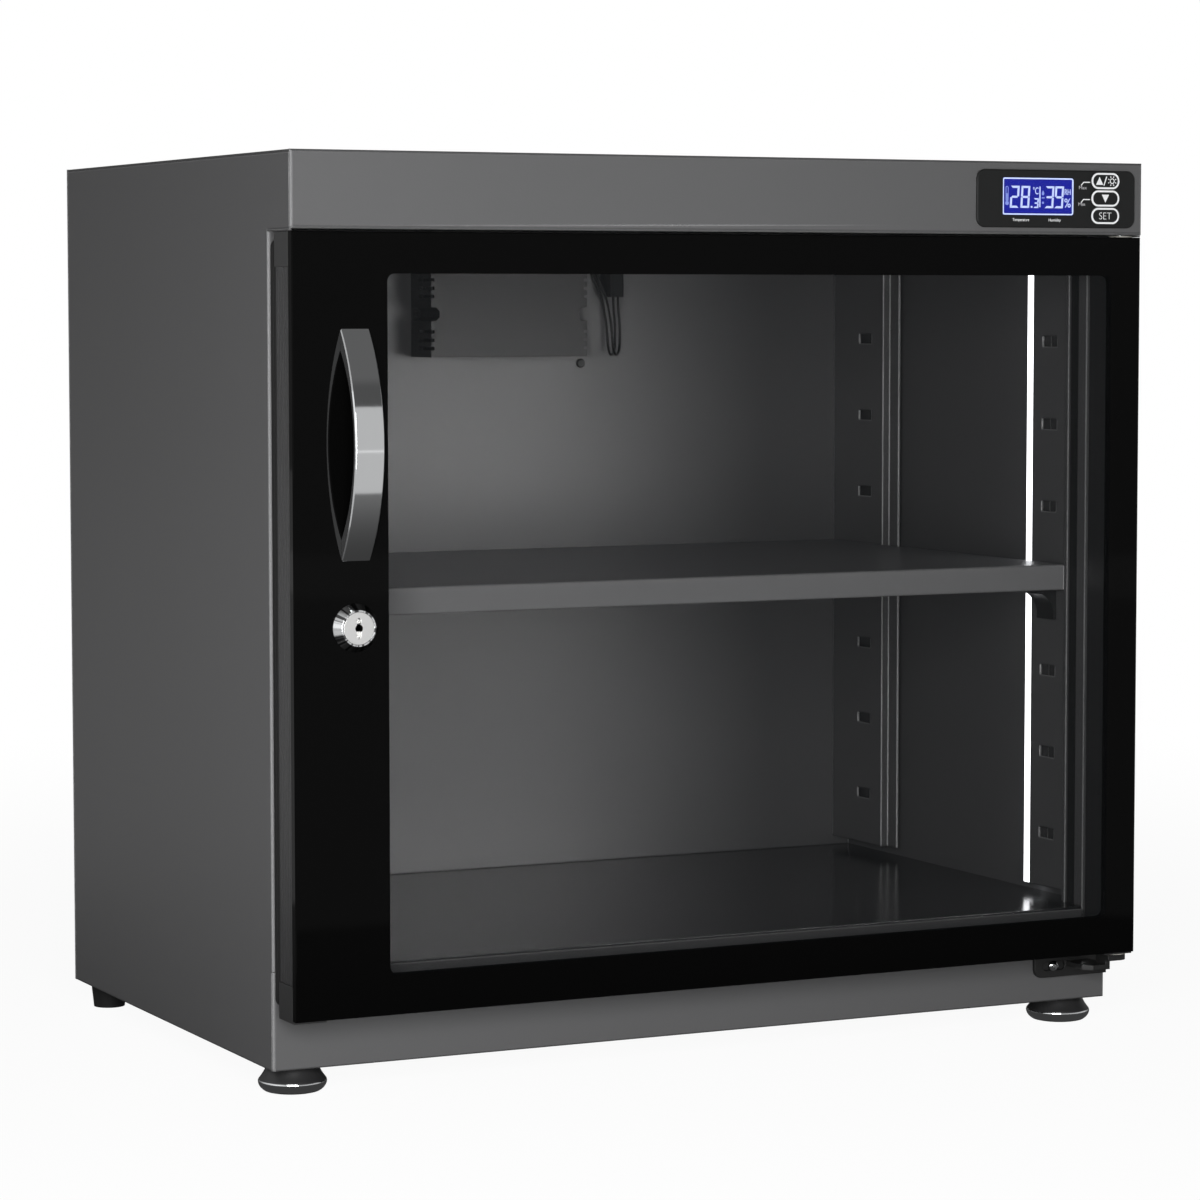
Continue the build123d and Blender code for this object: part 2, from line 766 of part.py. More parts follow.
with BuildPart() as door_rails:
    for edge, inward in ((z_door + profile_inset, 1), (z_door_top - profile_inset, -1)):
        with BuildSketch(facing_side(-door_half + cap_size)):
            span(y_profile, y_door_back, edge, edge + inward * profile_w)
            span(y_profile + profile_wall, y_door_back - profile_wall,
                 edge + inward * profile_wall, edge + inward * (profile_w - profile_wall),
                 mode=Mode.SUBTRACT)
            for y in rib_at:
                span(y - rib_cut_w / 2, y + rib_cut_w / 2,
                     edge, edge + inward * rib_cut_d, mode=Mode.SUBTRACT)
        extrude(amount=2 * (door_half - cap_size))
save(door_rails, "door_rails")

spigot_w = profile_w - 2 * profile_wall - 2 * spigot_play
spigot_d = profile_d - 2 * profile_wall - 2 * spigot_play
spigot_mid = profile_inset + profile_w / 2          # from the door's edge
y_spigot = (y_profile + y_door_back) / 2
with BuildPart() as corner_caps:
    for side in (-1, 1):
        for edge, inward in ((z_door, 1), (z_door_top, -1)):
            lip = cap_lip if inward == 1 else 0
            with BuildSketch(facing_front(y_door_back)):
                span(side * door_half, side * (door_half - cap_size),
                     edge - inward * lip, edge + inward * cap_size)
            extrude(amount=profile_d)
            if inward == 1:                          # lip under the glass edge
                with BuildSketch(facing_front(y_profile)):
                    span(side * door_half, side * (door_half - cap_size), edge - lip, edge - fit)
                extrude(amount=glass_t / 2)
            with BuildSketch(at_height(edge + inward * cap_size)):
                with Locations((side * (door_half - spigot_mid), y_spigot)):
                    Rectangle(spigot_w, spigot_d)
            extrude(amount=inward * spigot_l)
            with BuildSketch(facing_side(side * (door_half - cap_size))):
                with Locations((y_spigot, edge + inward * spigot_mid)):
                    Rectangle(spigot_d, spigot_w)
            extrude(amount=-side * spigot_l)
    for z_from, depth in ((z_cap_bottom, bush_depth), (z_door_top, -bush_depth)):
        with BuildSketch(at_height(z_from)):
            with Locations((pivot_x, pivot_y)):
                Circle(bush_r)
        extrude(amount=depth, mode=Mode.SUBTRACT)
save(corner_caps, "corner_caps")

with BuildPart() as hinge_bushes:
    for z_from, inward in ((z_cap_bottom, 1), (z_door_top, -1)):
        with BuildSketch(at_height(z_from)):
            with Locations((pivot_x, pivot_y)):
                Circle(bush_r)
        extrude(amount=inward * bush_depth)
        with BuildSketch(at_height(z_from)):
            with Locations((pivot_x, pivot_y)):
                Circle(bush_flange_r)
        extrude(amount=-inward * bush_flange_t)
        with BuildSketch(at_height(z_from - inward * bush_flange_t)):
            with Locations((pivot_x, pivot_y)):
                Circle(pin_r + pin_play)
        extrude(amount=inward * (bush_depth + bush_flange_t), mode=Mode.SUBTRACT)
save(hinge_bushes, "hinge_bushes")

with BuildPart() as door_gasket:
    inset_x = door_half - seal_inset
    inset_low = z_door + seal_inset
    inset_high = z_door_top - seal_inset
    with BuildSketch(facing_front(y_door_back)):
        span(-inset_x, inset_x, inset_low, inset_high)
        span(-inset_x + seal_w, inset_x - seal_w, inset_low + seal_w, inset_high - seal_w,
             mode=Mode.SUBTRACT)
    extrude(amount=-seal_base_t)
    lip_in = (seal_w - seal_lip_w) / 2
    with BuildSketch(facing_front(y_door_back + seal_base_t)):
        span(-inset_x + lip_in, inset_x - lip_in, inset_low + lip_in, inset_high - lip_in)
        span(-inset_x + seal_w - lip_in, inset_x - seal_w + lip_in,
             inset_low + seal_w - lip_in, inset_high - seal_w + lip_in, mode=Mode.SUBTRACT)
    extrude(amount=-(seal_gap - seal_base_t - seal_play))
    fillet(door_gasket.faces().sort_by(Axis.Y)[-1].edges(), seal_lip_w / 3)
save(door_gasket, "door_gasket")

# ---------------------------------------------------------------- lower hinge bracket and pins
plate_low = z_base + bracket_z
with BuildPart() as hinge_bracket:
    with BuildSketch(facing_front(y_front)):
        span(bracket_left, bracket_right, plate_low, plate_low + bracket_h)
    extrude(amount=bracket_t)
    left_edges = hinge_bracket.edges().filter_by(Axis.Y).group_by(Axis.X)[0]
    fillet(left_edges, bracket_corner)
    z_leaf = plate_low + arm_root
    y_leaf = y_front - arm_reach
    x_riser = pivot_x - arm_riser_in
    x_leaf = x_riser + arm_t - arm_leaf_w
    with BuildSketch(at_height(z_leaf)):                      # lower leaf, out from the plate
        with BuildLine():
            Polyline(
                (x_leaf, y_front - bracket_t),
                (x_leaf, y_leaf + arm_chamfer),
                (x_leaf + arm_chamfer, y_leaf),
                (x_riser + arm_t, y_leaf),
                (x_riser + arm_t, y_front - bracket_t),
                close=True,
            )
        make_face()
    extrude(amount=arm_t)
    with BuildSketch(facing_side(x_riser)):                   # step up
        span(y_leaf, pivot_y + tongue_r, z_leaf, z_tongue)
    extrude(amount=arm_t)
    with BuildSketch(at_height(z_tongue)):                    # tongue, round about the pivot
        span(x_riser, pivot_x, pivot_y - tongue_r, pivot_y + tongue_r)
        with Locations((pivot_x, pivot_y)):
            Circle(tongue_r)
    extrude(amount=-arm_t)
    with BuildSketch(facing_front(y_front)):                  # slotted hole, and a round one above
        with Locations(hinge_screws_at[0]):
            SlotOverall(hinge_slot_l, hinge_slot_w)
        with Locations(hinge_screws_at[1]):
            Circle(hinge_screw_r + fit)
    extrude(amount=bracket_t, mode=Mode.SUBTRACT)
    with BuildSketch(at_height(z_tongue)):
        with Locations((pivot_x, pivot_y)):
            Circle(pin_r)
    extrude(amount=-arm_t, mode=Mode.SUBTRACT)
save(hinge_bracket, "hinge_bracket")

with BuildPart() as hinge_pins:
    with BuildSketch(at_height(z_tongue - arm_t)):            # riveted in the tongue
        with Locations((pivot_x, pivot_y)):
            Circle(pin_r)
    extrude(amount=z_cap_bottom + bush_depth - z_tongue + arm_t - 1)
    with BuildSketch(at_height(z_step + sheet)):              # headed pin through the fascia floor
        with Locations((pivot_x, pivot_y)):
            Circle(pin_head_r)
    extrude(amount=pin_head_h)
    with BuildSketch(at_height(z_step + sheet)):
        with Locations((pivot_x, pivot_y)):
            Circle(pin_r)
    extrude(amount=-(sheet + door_top_gap + bush_depth - 1))
save(hinge_pins, "hinge_pins")

with BuildPart() as hinge_screws:
    with BuildSketch(facing_front(y_front - bracket_t)):
        with Locations(*hinge_screws_at):
            Circle(hinge_head_r)
    extrude(amount=hinge_head_h)
    chamfer(hinge_screws.faces().group_by(Axis.Y)[0].edges(), hinge_head_h / 2)
    with BuildSketch(facing_front(y_front - bracket_t)):
        with Locations(*hinge_screws_at):
            Circle(hinge_screw_r - fit / 2)
    extrude(amount=-(bracket_t + 4 * sheet))
save(hinge_screws, "hinge_screws")

# ---------------------------------------------------------------- handle
with BuildPart() as handle:
    with BuildSketch(facing_side(handle_x)):
        z_low, z_high = z_handle, z_handle + handle_len
        z_mid = (z_low + z_high) / 2
        with BuildLine():
            ThreePointArc((y_fascia, z_low), (y_fascia - handle_rise, z_mid), (y_fascia, z_high))
            Line((y_fascia, z_high), (y_fascia, z_high - handle_root))
            ThreePointArc(
                (y_fascia, z_high - handle_root),
                (y_fascia - handle_rise + handle_t, z_mid),
                (y_fascia, z_low + handle_root),
            )
            Line((y_fascia, z_low + handle_root), (y_fascia, z_low))
        make_face()
    extrude(amount=handle_w / 2, both=True)
    bows = handle.edges().filter_by(GeomType.CIRCLE)
    chamfer(bows, handle_edge)
    with BuildSketch(facing_front(y_fascia)):
        with Locations((handle_x, z_low + handle_screw_in), (handle_x, z_high - handle_screw_in)):
            Circle(handle_screw_r)
    extrude(amount=handle_thread, mode=Mode.SUBTRACT)
save(handle, "handle")

with BuildPart() as handle_screws:
    spots = [
        (handle_x, z_handle + handle_screw_in),
        (handle_x, z_handle + handle_len - handle_screw_in),
    ]
    with BuildSketch(facing_front(y_profile)):
        with Locations(*spots):
            Circle(handle_head_r)
    extrude(amount=-handle_head_h)
    chamfer(handle_screws.faces().group_by(Axis.Y)[-1].edges(), handle_head_h / 2)
    with BuildSketch(facing_front(y_profile)):
        with Locations(*spots):
            Circle(handle_screw_r - fit / 2)
    extrude(amount=glass_t + mask_t + handle_thread - fit)
save(handle_screws, "handle_screws")

# ---------------------------------------------------------------- lock
y_lock = y_fascia - bezel_h
with BuildPart() as lock_barrel:
    with BuildSketch(facing_front(y_fascia)):
        with Locations((lock_x, lock_z)):
            Circle(bezel_r)
    with BuildSketch(facing_front(y_lock)):
        with Locations((lock_x, lock_z)):
            Circle(bezel_tip_r)
    loft()
    with BuildSketch(facing_front(y_fascia)):
        with Locations((lock_x, lock_z)):
            Circle(barrel_r)
    extrude(amount=-(y_cam - 3 * fit - y_fascia))
    with BuildSketch(facing_front(y_lock)):
        with Locations((lock_x, lock_z)):
            Circle(plug_r)
    extrude(amount=-(y_cam - y_lock), mode=Mode.SUBTRACT)
save(lock_barrel, "lock_barrel")

with BuildPart() as lock_nut:
    with BuildSketch(facing_front(y_profile)):
        with Locations((lock_x, lock_z)):
            Circle(lock_nut_r)
            Circle(barrel_r + fit / 2, mode=Mode.SUBTRACT)
    extrude(amount=-lock_nut_t)
    chamfer(lock_nut.faces().sort_by(Axis.Y)[-1].outer_wire().edges(), 0.6)
save(lock_nut, "lock_nut")

with BuildPart() as lock_plug:
    with BuildSketch(facing_front(y_cam)):
        with Locations((lock_x, lock_z)):
            Circle(plug_r - plug_play)
    extrude(amount=y_cam - y_lock)
    with BuildSketch(facing_front(y_cam)):
        with Locations((lock_x, lock_z)):
            Rectangle(cam_square, cam_square)
    extrude(amount=-cam_t)
    with BuildSketch(facing_front(y_lock)):
        with Locations((lock_x, lock_z)):
            SlotOverall(key_slot_h, key_slot_w, rotation=90)
    extrude(amount=-key_slot_d, mode=Mode.SUBTRACT)
    with BuildSketch(facing_front(y_cam + cam_t)):
        with Locations((lock_x, lock_z)):
            Circle(cam_screw_r)
    extrude(amount=cam_screw_l, mode=Mode.SUBTRACT)
save(lock_plug, "lock_plug")

with BuildPart() as lock_cam:
    tip_r = cam_w * 0.36
    with BuildSketch(facing_front(y_cam)):
        with Locations((lock_x, lock_z)):
            Circle(cam_w / 2)
        with Locations((lock_x, lock_z - cam_len + tip_r)):
            Circle(tip_r)
        span(lock_x - tip_r, lock_x + tip_r, lock_z - cam_len + tip_r, lock_z)
        with Locations((lock_x, lock_z)):
            Rectangle(cam_square + 2 * plug_play, cam_square + 2 * plug_play, mode=Mode.SUBTRACT)
    extrude(amount=-cam_t)
save(lock_cam, "lock_cam")

with BuildPart() as cam_screw:
    with BuildSketch(facing_front(y_cam + cam_t)):
        with Locations((lock_x, lock_z)):
            Circle(cam_head_r)
    extrude(amount=-cam_head_h)
    chamfer(cam_screw.faces().sort_by(Axis.Y)[-1].edges(), cam_head_h / 2)
    with BuildSketch(facing_front(y_cam + cam_t)):
        with Locations((lock_x, lock_z)):
            Circle(cam_screw_r - fit / 2)
    extrude(amount=cam_screw_l - 1)
save(cam_screw, "cam_screw")

# ---------------------------------------------------------------- control panel
y_board = y_fascia + board_y
boss_spots = [(panel_x + sx * boss_x, panel_z + sz * boss_z) for sx in (-1, 1) for sz in (-1, 1)]
button_hole_h = button_pitch + fit           # the three holes run into one another

with BuildPart() as control_bezel:
    with BuildSketch(facing_front(y_fascia)):
        with Locations((panel_x, panel_z)):
            RectangleRounded(panel_w, panel_h, panel_corner)
    extrude(amount=panel_t)
    chamfer(control_bezel.faces().sort_by(Axis.Y)[0].edges(), panel_t / 3)
    with BuildSketch(facing_front(y_fascia)):
        with Locations((panel_x, panel_z)):
            RectangleRounded(box_w, box_h, panel_corner / 2)
            Rectangle(box_w - 2 * box_wall, box_h - 2 * box_wall, mode=Mode.SUBTRACT)
    extrude(amount=-box_depth)
    with BuildSketch(facing_front(y_fascia)):
        with Locations(*boss_spots):
            Circle(boss_r)
    extrude(amount=-board_y)
    with BuildSketch(facing_front(y_board)):
        with Locations(*boss_spots):
            Circle(board_screw_r)
    extrude(amount=board_y / 2, mode=Mode.SUBTRACT)
    with BuildSketch(facing_front(y_fascia - panel_t)):
        with Locations((lens_x, lens_z)):
            Rectangle(lens_w + 2 * fit, lens_h + 2 * fit)
    extrude(amount=-panel_t, mode=Mode.SUBTRACT)
    with BuildSketch(facing_front(y_fascia - panel_t)):
        with Locations(*[(button_x, z) for z in button_z]):
            SlotOverall(button_w + 2 * button_play, button_hole_h)
    extrude(amount=-panel_t, mode=Mode.SUBTRACT)
save(control_bezel, "control_bezel")

with BuildPart() as lcd_window:
    with BuildSketch(facing_front(y_fascia - panel_t + lens_sink)):
        with Locations((lens_x, lens_z)):
            Rectangle(lens_w, lens_h)
    extrude(amount=-lens_t)
save(lcd_window, "lcd_window")

with BuildPart() as lcd_module:
    with BuildSketch(facing_front(y_board - fit)):
        with Locations((lens_x, lens_z)):
            Rectangle(lcd_w, lcd_h)
    extrude(amount=lcd_t)
save(lcd_module, "lcd_module")

with BuildPart() as control_board:
    with BuildSketch(facing_front(y_board)):
        with Locations((panel_x, panel_z)):
            Rectangle(box_w - 2 * box_wall - board_play, box_h - 2 * box_wall - board_play)
        with Locations(*boss_spots):
            Circle(board_screw_r + fit / 2, mode=Mode.SUBTRACT)
    extrude(amount=-board_t)
    with BuildSketch(facing_front(y_board)):         # three tact switches
        with Locations(*[(button_x, z) for z in button_z]):
            Rectangle(switch_w, switch_h)
    extrude(amount=switch_t)
    with BuildSketch(facing_front(y_board - switch_t)):
        with Locations(*[(button_x, z) for z in button_z]):
            Circle(plunger_r)
    extrude(amount=plunger_l)
save(control_board, "control_board")

with BuildPart() as board_screws:
    with BuildSketch(facing_front(y_board + board_t)):
        with Locations(*boss_spots):
            Circle(board_head_r)
    extrude(amount=-board_head_h)
    with BuildSketch(facing_front(y_board + board_t)):
        with Locations(*boss_spots):
            Circle(board_screw_r - fit / 4)
    extrude(amount=board_t + board_y / 3)
save(board_screws, "board_screws")

# Each button is a cap in the window, a neck, a flange that the bezel holds back, and a stem
y_cap = y_fascia - panel_t - button_proud
y_plunger = y_board - switch_t - plunger_l
y_flange_back = y_fascia + fit + button_flange_t
for z, name in zip(button_z, ("up", "down", "set")):
    with BuildPart() as button:
        with BuildSketch(facing_front(y_cap)):
            with Locations((button_x, z)):
                SlotOverall(button_w, button_h)
        extrude(amount=-button_t)
        chamfer(button.faces().sort_by(Axis.Y)[0].edges(), button_edge)
        with BuildSketch(facing_front(y_cap + button_t)):
            with Locations((button_x, z)):
                SlotOverall(button_w - 2 * button_flange_lap, button_neck_h)
        extrude(amount=-(y_fascia + fit - y_cap - button_t))
        with BuildSketch(facing_front(y_fascia + fit)):
            with Locations((button_x, z)):
                SlotOverall(button_w + 2 * button_flange_lap, button_neck_h)
        extrude(amount=-button_flange_t)
        with BuildSketch(facing_front(y_flange_back)):
            with Locations((button_x, z)):
                Circle(plunger_r)
        extrude(amount=-(y_plunger - button_travel - fit - y_flange_back))
    save(button, f"button_{name}")

# ---------------------------------------------------------------- dehumidifier
unit_left = unit_x - unit_w / 2
unit_right = unit_x + unit_w / 2
vent_rows = [side * (vent_from_mid + vent_pitch * n) for side in (-1, 1) for n in range(vent_count)]
with BuildPart() as dehumidifier_cover:
    with BuildSketch(facing_front(y_wall)):
        with Locations((unit_x, z_unit_mid)):
            Rectangle(unit_w, unit_h)
    extrude(amount=unit_d)
    with BuildSketch(facing_front(y_wall)):
        with Locations((unit_x, z_unit_mid)):
            Rectangle(unit_w - 2 * unit_wall, unit_h - 2 * unit_wall)
        for side in (-1, 1):                          # walls of the two screw pockets stay
            pocket = notch_d + unit_wall
            span(unit_x + side * (unit_w / 2), unit_x + side * (unit_w / 2 - pocket),
                 z_unit_mid - notch_w / 2 - unit_wall, z_unit_mid + notch_w / 2 + unit_wall,
                 mode=Mode.SUBTRACT)
    extrude(amount=unit_d - unit_wall, mode=Mode.SUBTRACT)
    with BuildSketch(facing_front(y_wall - ear_t)):   # screw pockets, open to the front and side
        for side in (-1, 1):
            edge = unit_x + side * unit_w / 2
            inner = edge - side * notch_d
            with BuildLine():
                Polyline(
                    (edge, z_unit_mid - notch_w / 2),
                    (inner + side * notch_chamfer, z_unit_mid - notch_w / 2),
                    (inner, z_unit_mid - notch_w / 2 + notch_chamfer),
                    (inner, z_unit_mid + notch_w / 2 - notch_chamfer),
                    (inner + side * notch_chamfer, z_unit_mid + notch_w / 2),
                    (edge, z_unit_mid + notch_w / 2),
                    close=True,
                )
            make_face()
    extrude(amount=unit_d - ear_t, mode=Mode.SUBTRACT)
    with BuildSketch(facing_side(unit_left)):         # side vents, cut into the front edge
        for row in vent_rows:
            span(y_unit, y_unit + vent_l, z_unit_mid + row - vent_w / 2, z_unit_mid + row + vent_w / 2)
    extrude(amount=unit_wall, mode=Mode.SUBTRACT)
    with BuildSketch(facing_side(unit_right)):
        for row in vent_rows:
            span(y_unit, y_unit + vent_l, z_unit_mid + row - vent_w / 2, z_unit_mid + row + vent_w / 2)
    extrude(amount=-unit_wall, mode=Mode.SUBTRACT)
    with BuildSketch(facing_front(y_wall)):
        with Locations(*unit_screws_at):
            Circle(unit_screw_r)
    extrude(amount=ear_t, mode=Mode.SUBTRACT)
save(dehumidifier_cover, "dehumidifier_cover")

base_w = unit_w - 2 * (notch_d + unit_wall) - 4 * fit
base_h = unit_h - 2 * unit_wall - 2 * fit
with BuildPart() as dehumidifier_base:
    with BuildSketch(facing_front(y_wall)):
        with Locations((unit_x, z_unit_mid)):
            Rectangle(base_w, base_h)
            Rectangle(duct_w - 4 * duct_wall, duct_h - 4 * duct_wall, mode=Mode.SUBTRACT)
    extrude(amount=unit_base_t)
save(dehumidifier_base, "dehumidifier_base")

y_heater = y_wall - unit_base_t
with BuildPart() as heater_plate:
    with BuildSketch(facing_front(y_heater)):
        with Locations((unit_x, z_unit_mid)):
            Rectangle(pack_w, pack_h)
    extrude(amount=heater_t)
save(heater_plate, "heater_plate")

with BuildPart() as desiccant_pack:
    with BuildSketch(facing_front(y_heater - heater_t)):
        with Locations((unit_x, z_unit_mid)):
            RectangleRounded(pack_w, pack_h, 3)
    extrude(amount=pack_t)
save(desiccant_pack, "desiccant_pack")

with BuildPart() as dehumidifier_screws:
    with BuildSketch(facing_front(y_wall - ear_t)):
        with Locations(*unit_screws_at):
            Circle(unit_head_r - fit)
    extrude(amount=unit_head_h)
    with BuildSketch(facing_front(y_wall - ear_t)):
        with Locations(*unit_screws_at):
            Circle(unit_screw_r - fit / 2)
    extrude(amount=-(ear_t + 4 * liner))
save(dehumidifier_screws, "dehumidifier_screws")

with BuildPart() as vent_duct:                        # carries the damp air out through the back
    with BuildSketch(facing_front(y_wall + liner)):
        with Locations((unit_x, z_unit_mid)):
            Rectangle(duct_w, duct_h)
            Rectangle(duct_w - 2 * duct_wall, duct_h - 2 * duct_wall, mode=Mode.SUBTRACT)
    extrude(amount=-(y_back - sheet - y_wall - liner))
save(vent_duct, "vent_duct")

with BuildPart() as humidity_sensor:
    spot = (sensor_x, z_unit - sensor_below)
    with BuildSketch(facing_front(y_wall)):
        with Locations(spot):
            Circle(sensor_r + 0.6)
    extrude(amount=sensor_h)
    chamfer(humidity_sensor.faces().sort_by(Axis.Y)[0].edges(), sensor_h / 2)
    with BuildSketch(facing_front(y_wall)):
        with Locations(spot):
            Circle(sensor_r - fit / 2)
    extrude(amount=-4 * liner)
save(humidity_sensor, "humidity_sensor")

# ---------------------------------------------------------------- heater lead
# Two single wires, side by side.  The route is chosen by hand: out of the cover's top, over
# its end, down in a loop and up into the plug.  Distances are from the cover's right side,
# from the back wall and from the cover's lower edge.
lead_points = [
    (-4.1, -15.6, unit_h),
    (-4.1, -15.6, 46.0),
    (-2.2, -15.6, 48.8),
    (1.1, -15.6, 49.8),
    (4.1, -15.6, 47.8),
    (7.0, -15.6, 42.6),
    (10.3, -15.6, 35.7),
    (13.3, -15.6, 28.5),
    (15.1, -15.6, 20.3),
    (16.2, -15.6, 11.7),
    (16.7, -15.6, 3.7),
    (18.8, -13.5, 0.7),
    (21.8, -10.7, 0.7),
    (23.9, -8.6, 3.7),
    (24.2, -8.6, 10.9),
    (23.9, -8.6, 17.9),
    (23.1, -8.6, 24.5),
    (23.1, -8.6, plug_tail_h),
]
for number, (aside, ahead) in enumerate(((0, 0), lead_offset), start=1):
    route = [Vector(unit_right + x + aside, y_wall + y - ahead, z_unit + z) for x, y, z in lead_points]
    runs = [after - before for before, after in zip(route, route[1:])]
    bend_r = []
    for arriving, leaving in zip(runs, runs[1:]):
        turn = radians(arriving.get_angle(leaving))
        bend_r.append(0.45 * min(arriving.length, leaving.length) / tan(turn / 2))
    with BuildPart() as heater_lead:
        with BuildLine() as lead_path:
            FilletPolyline(*route, radius=bend_r)
        with BuildSketch(Plane(origin=route[0], z_dir=runs[0])):
            RegularPolygon(lead_d / 2, 8)
        sweep()
    lead_len = lead_path.wires()[0].length
    print("lead", number, "length", round(lead_len, 1), "radii", [round(r, 1) for r in bend_r],
          "volume check", round(heater_lead.part.volume / (lead_len * 2 * 2**0.5 * (lead_d / 2)**2), 4))
    save(heater_lead, f"heater_lead_{number}")

plug_left = unit_right + plug_from_unit
with BuildPart() as lead_plug:                        # its lower rear edge is cut away
    with BuildSketch(facing_side(plug_left)):
        y_near, y_far = y_wall - plug_d, y_wall - fit
        with BuildLine():
            Polyline(
                (y_near, z_plug),
                (y_far - plug_cut_d, z_plug),
                (y_far, z_plug + plug_cut_h),
                (y_far, z_plug + plug_h),
                (y_near, z_plug + plug_h),
                close=True,
            )
        make_face()
    extrude(amount=plug_w)
save(lead_plug, "lead_plug")

with BuildPart() as lead_socket:                      # hangs from the ceiling panel
    with BuildSketch(at_height(z_plug + plug_h)):
        span(plug_left - socket_rim, plug_left + plug_w + socket_rim, y_wall - plug_d, y_wall - fit)
    extrude(amount=z_ceiling - z_plug - plug_h)
save(lead_socket, "lead_socket")

with BuildPart() as dc_inlet:
    spot = (inlet_x, z_step + fascia_h / 2)
    with BuildSketch(facing_front(y_back)):
        with Locations(spot):
            Circle(inlet_flange_r)
    extrude(amount=-inlet_flange_t)
    with BuildSketch(facing_front(y_back)):
        with Locations(spot):
            Circle(inlet_r)
    extrude(amount=inlet_l)
    with BuildSketch(facing_front(y_back + inlet_flange_t)):    # socket with its centre pin
        with Locations(spot):
            Circle(inlet_bore_r)
            Circle(inlet_pin_r, mode=Mode.SUBTRACT)
    extrude(amount=inlet_bore_l, mode=Mode.SUBTRACT)
save(dc_inlet, "dc_inlet")
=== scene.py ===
import json
from math import cos, pi, radians, sin
import bmesh
import bpy
from mathutils import Matrix, Vector


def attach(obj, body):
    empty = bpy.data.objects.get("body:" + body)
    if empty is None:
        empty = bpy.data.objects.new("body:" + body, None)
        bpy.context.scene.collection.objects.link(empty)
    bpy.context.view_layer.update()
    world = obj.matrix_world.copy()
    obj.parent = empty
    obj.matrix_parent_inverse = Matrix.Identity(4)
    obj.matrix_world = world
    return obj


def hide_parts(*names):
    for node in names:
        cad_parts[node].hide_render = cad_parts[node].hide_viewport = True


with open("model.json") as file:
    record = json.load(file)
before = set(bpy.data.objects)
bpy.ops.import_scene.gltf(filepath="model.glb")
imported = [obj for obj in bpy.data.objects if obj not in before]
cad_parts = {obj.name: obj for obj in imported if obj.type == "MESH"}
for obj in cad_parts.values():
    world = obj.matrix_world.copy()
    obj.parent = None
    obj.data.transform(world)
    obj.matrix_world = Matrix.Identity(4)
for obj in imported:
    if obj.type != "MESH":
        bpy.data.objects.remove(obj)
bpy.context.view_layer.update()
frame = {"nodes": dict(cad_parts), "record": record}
nodes = frame["nodes"]
print("frame:", len(nodes), "nodes")

# camera
camera = {"place": (-0.84005, -1.71436, 0.34681), "turn": (85.7296, 0.0385, -26.0959), "lens": 119.044}
cameraData = bpy.data.cameras.new("camera")
cameraData.lens = camera["lens"]
cameraData.sensor_width = 36
cameraData.sensor_fit = "HORIZONTAL"
cameraData.clip_end = 60
cameraObject = bpy.data.objects.new("camera", cameraData)
cameraObject.location = camera["place"]
cameraObject.rotation_euler = [radians(angle) for angle in camera["turn"]]
bpy.context.scene.collection.objects.link(cameraObject)
bpy.context.scene.camera = cameraObject
bpy.context.scene.view_settings.view_transform = "Standard"


class Wire:
    # a shader socket that sums and products can be written with
    def __init__(self, shader, socket):
        self.shader = shader
        self.socket = socket

    def maths(self, operation, first, second=0.0):
        return self.shader.node("Math", {"operation": operation}, {0: first, 1: second})

    def __add__(self, other):
        return self.maths("ADD", self, other)

    def __radd__(self, other):
        return self.maths("ADD", other, self)

    def __sub__(self, other):
        return self.maths("SUBTRACT", self, other)

    def __rsub__(self, other):
        return self.maths("SUBTRACT", other, self)

    def __mul__(self, other):
        return self.maths("MULTIPLY", self, other)

    def __rmul__(self, other):
        return self.maths("MULTIPLY", other, self)

    def __truediv__(self, other):
        return self.maths("DIVIDE", self, other)

    def __pow__(self, other):
        return self.maths("POWER", self, other)

    def most(self, other):
        return self.maths("MAXIMUM", self, other)

    def least(self, other):
        return self.maths("MINIMUM", self, other)

    def above(self, level):
        return self.maths("GREATER_THAN", self, level)

    def size(self):
        return self.maths("ABSOLUTE", self)

    def ramp(self, low, high):
        # 0 at low and 1 at high, eased at both ends
        made = {"interpolation_type": "SMOOTHSTEP", "clamp": True}
        return self.shader.node("MapRange", made, {"Value": self, "From Min": low, "From Max": high})


class Shader:
    # one node tree, built a node at a time
    def __init__(self, owner):
        owner.use_nodes = True
        self.owner = owner
        self.tree = owner.node_tree
        self.tree.nodes.clear()

    def node(self, kind, settings=None, inputs=None, output=0):
        made = self.tree.nodes.new("ShaderNode" + kind)
        for name, value in (settings or {}).items():
            if name == "stops":
                while len(made.color_ramp.elements) < len(value):
                    made.color_ramp.elements.new(0.5)
                for element, (position, colour) in zip(made.color_ramp.elements, value):
                    element.position = position
                    element.color = colour
            else:
                setattr(made, name, value)
        for name, value in (inputs or {}).items():
            if isinstance(value, Wire):
                self.tree.links.new(value.socket, made.inputs[name])
            else:
                made.inputs[name].default_value = value
        return Wire(self, made.outputs[output]) if made.outputs else made

    def mixed(self, factor, first, second):
        return self.node("Mix", {"data_type": "RGBA"}, {0: factor, 6: first, 7: second}, 2)

    def place(self, output="Object"):
        return self.node("TexCoord", None, None, output)

    def axis(self, letter):
        return self.node("SeparateXYZ", None, {0: self.place()}, letter)

    def noise(self, scale, detail=2.0, stretch=None):
        where = self.place()
        if stretch:
            where = self.node("Mapping", None, {"Vector": where, "Scale": stretch})
        return self.node("TexNoise", None, {"Vector": where, "Scale": scale, "Detail": detail}, 0)


def grey(level, alpha=1.0):
    return (level, level, level, alpha)


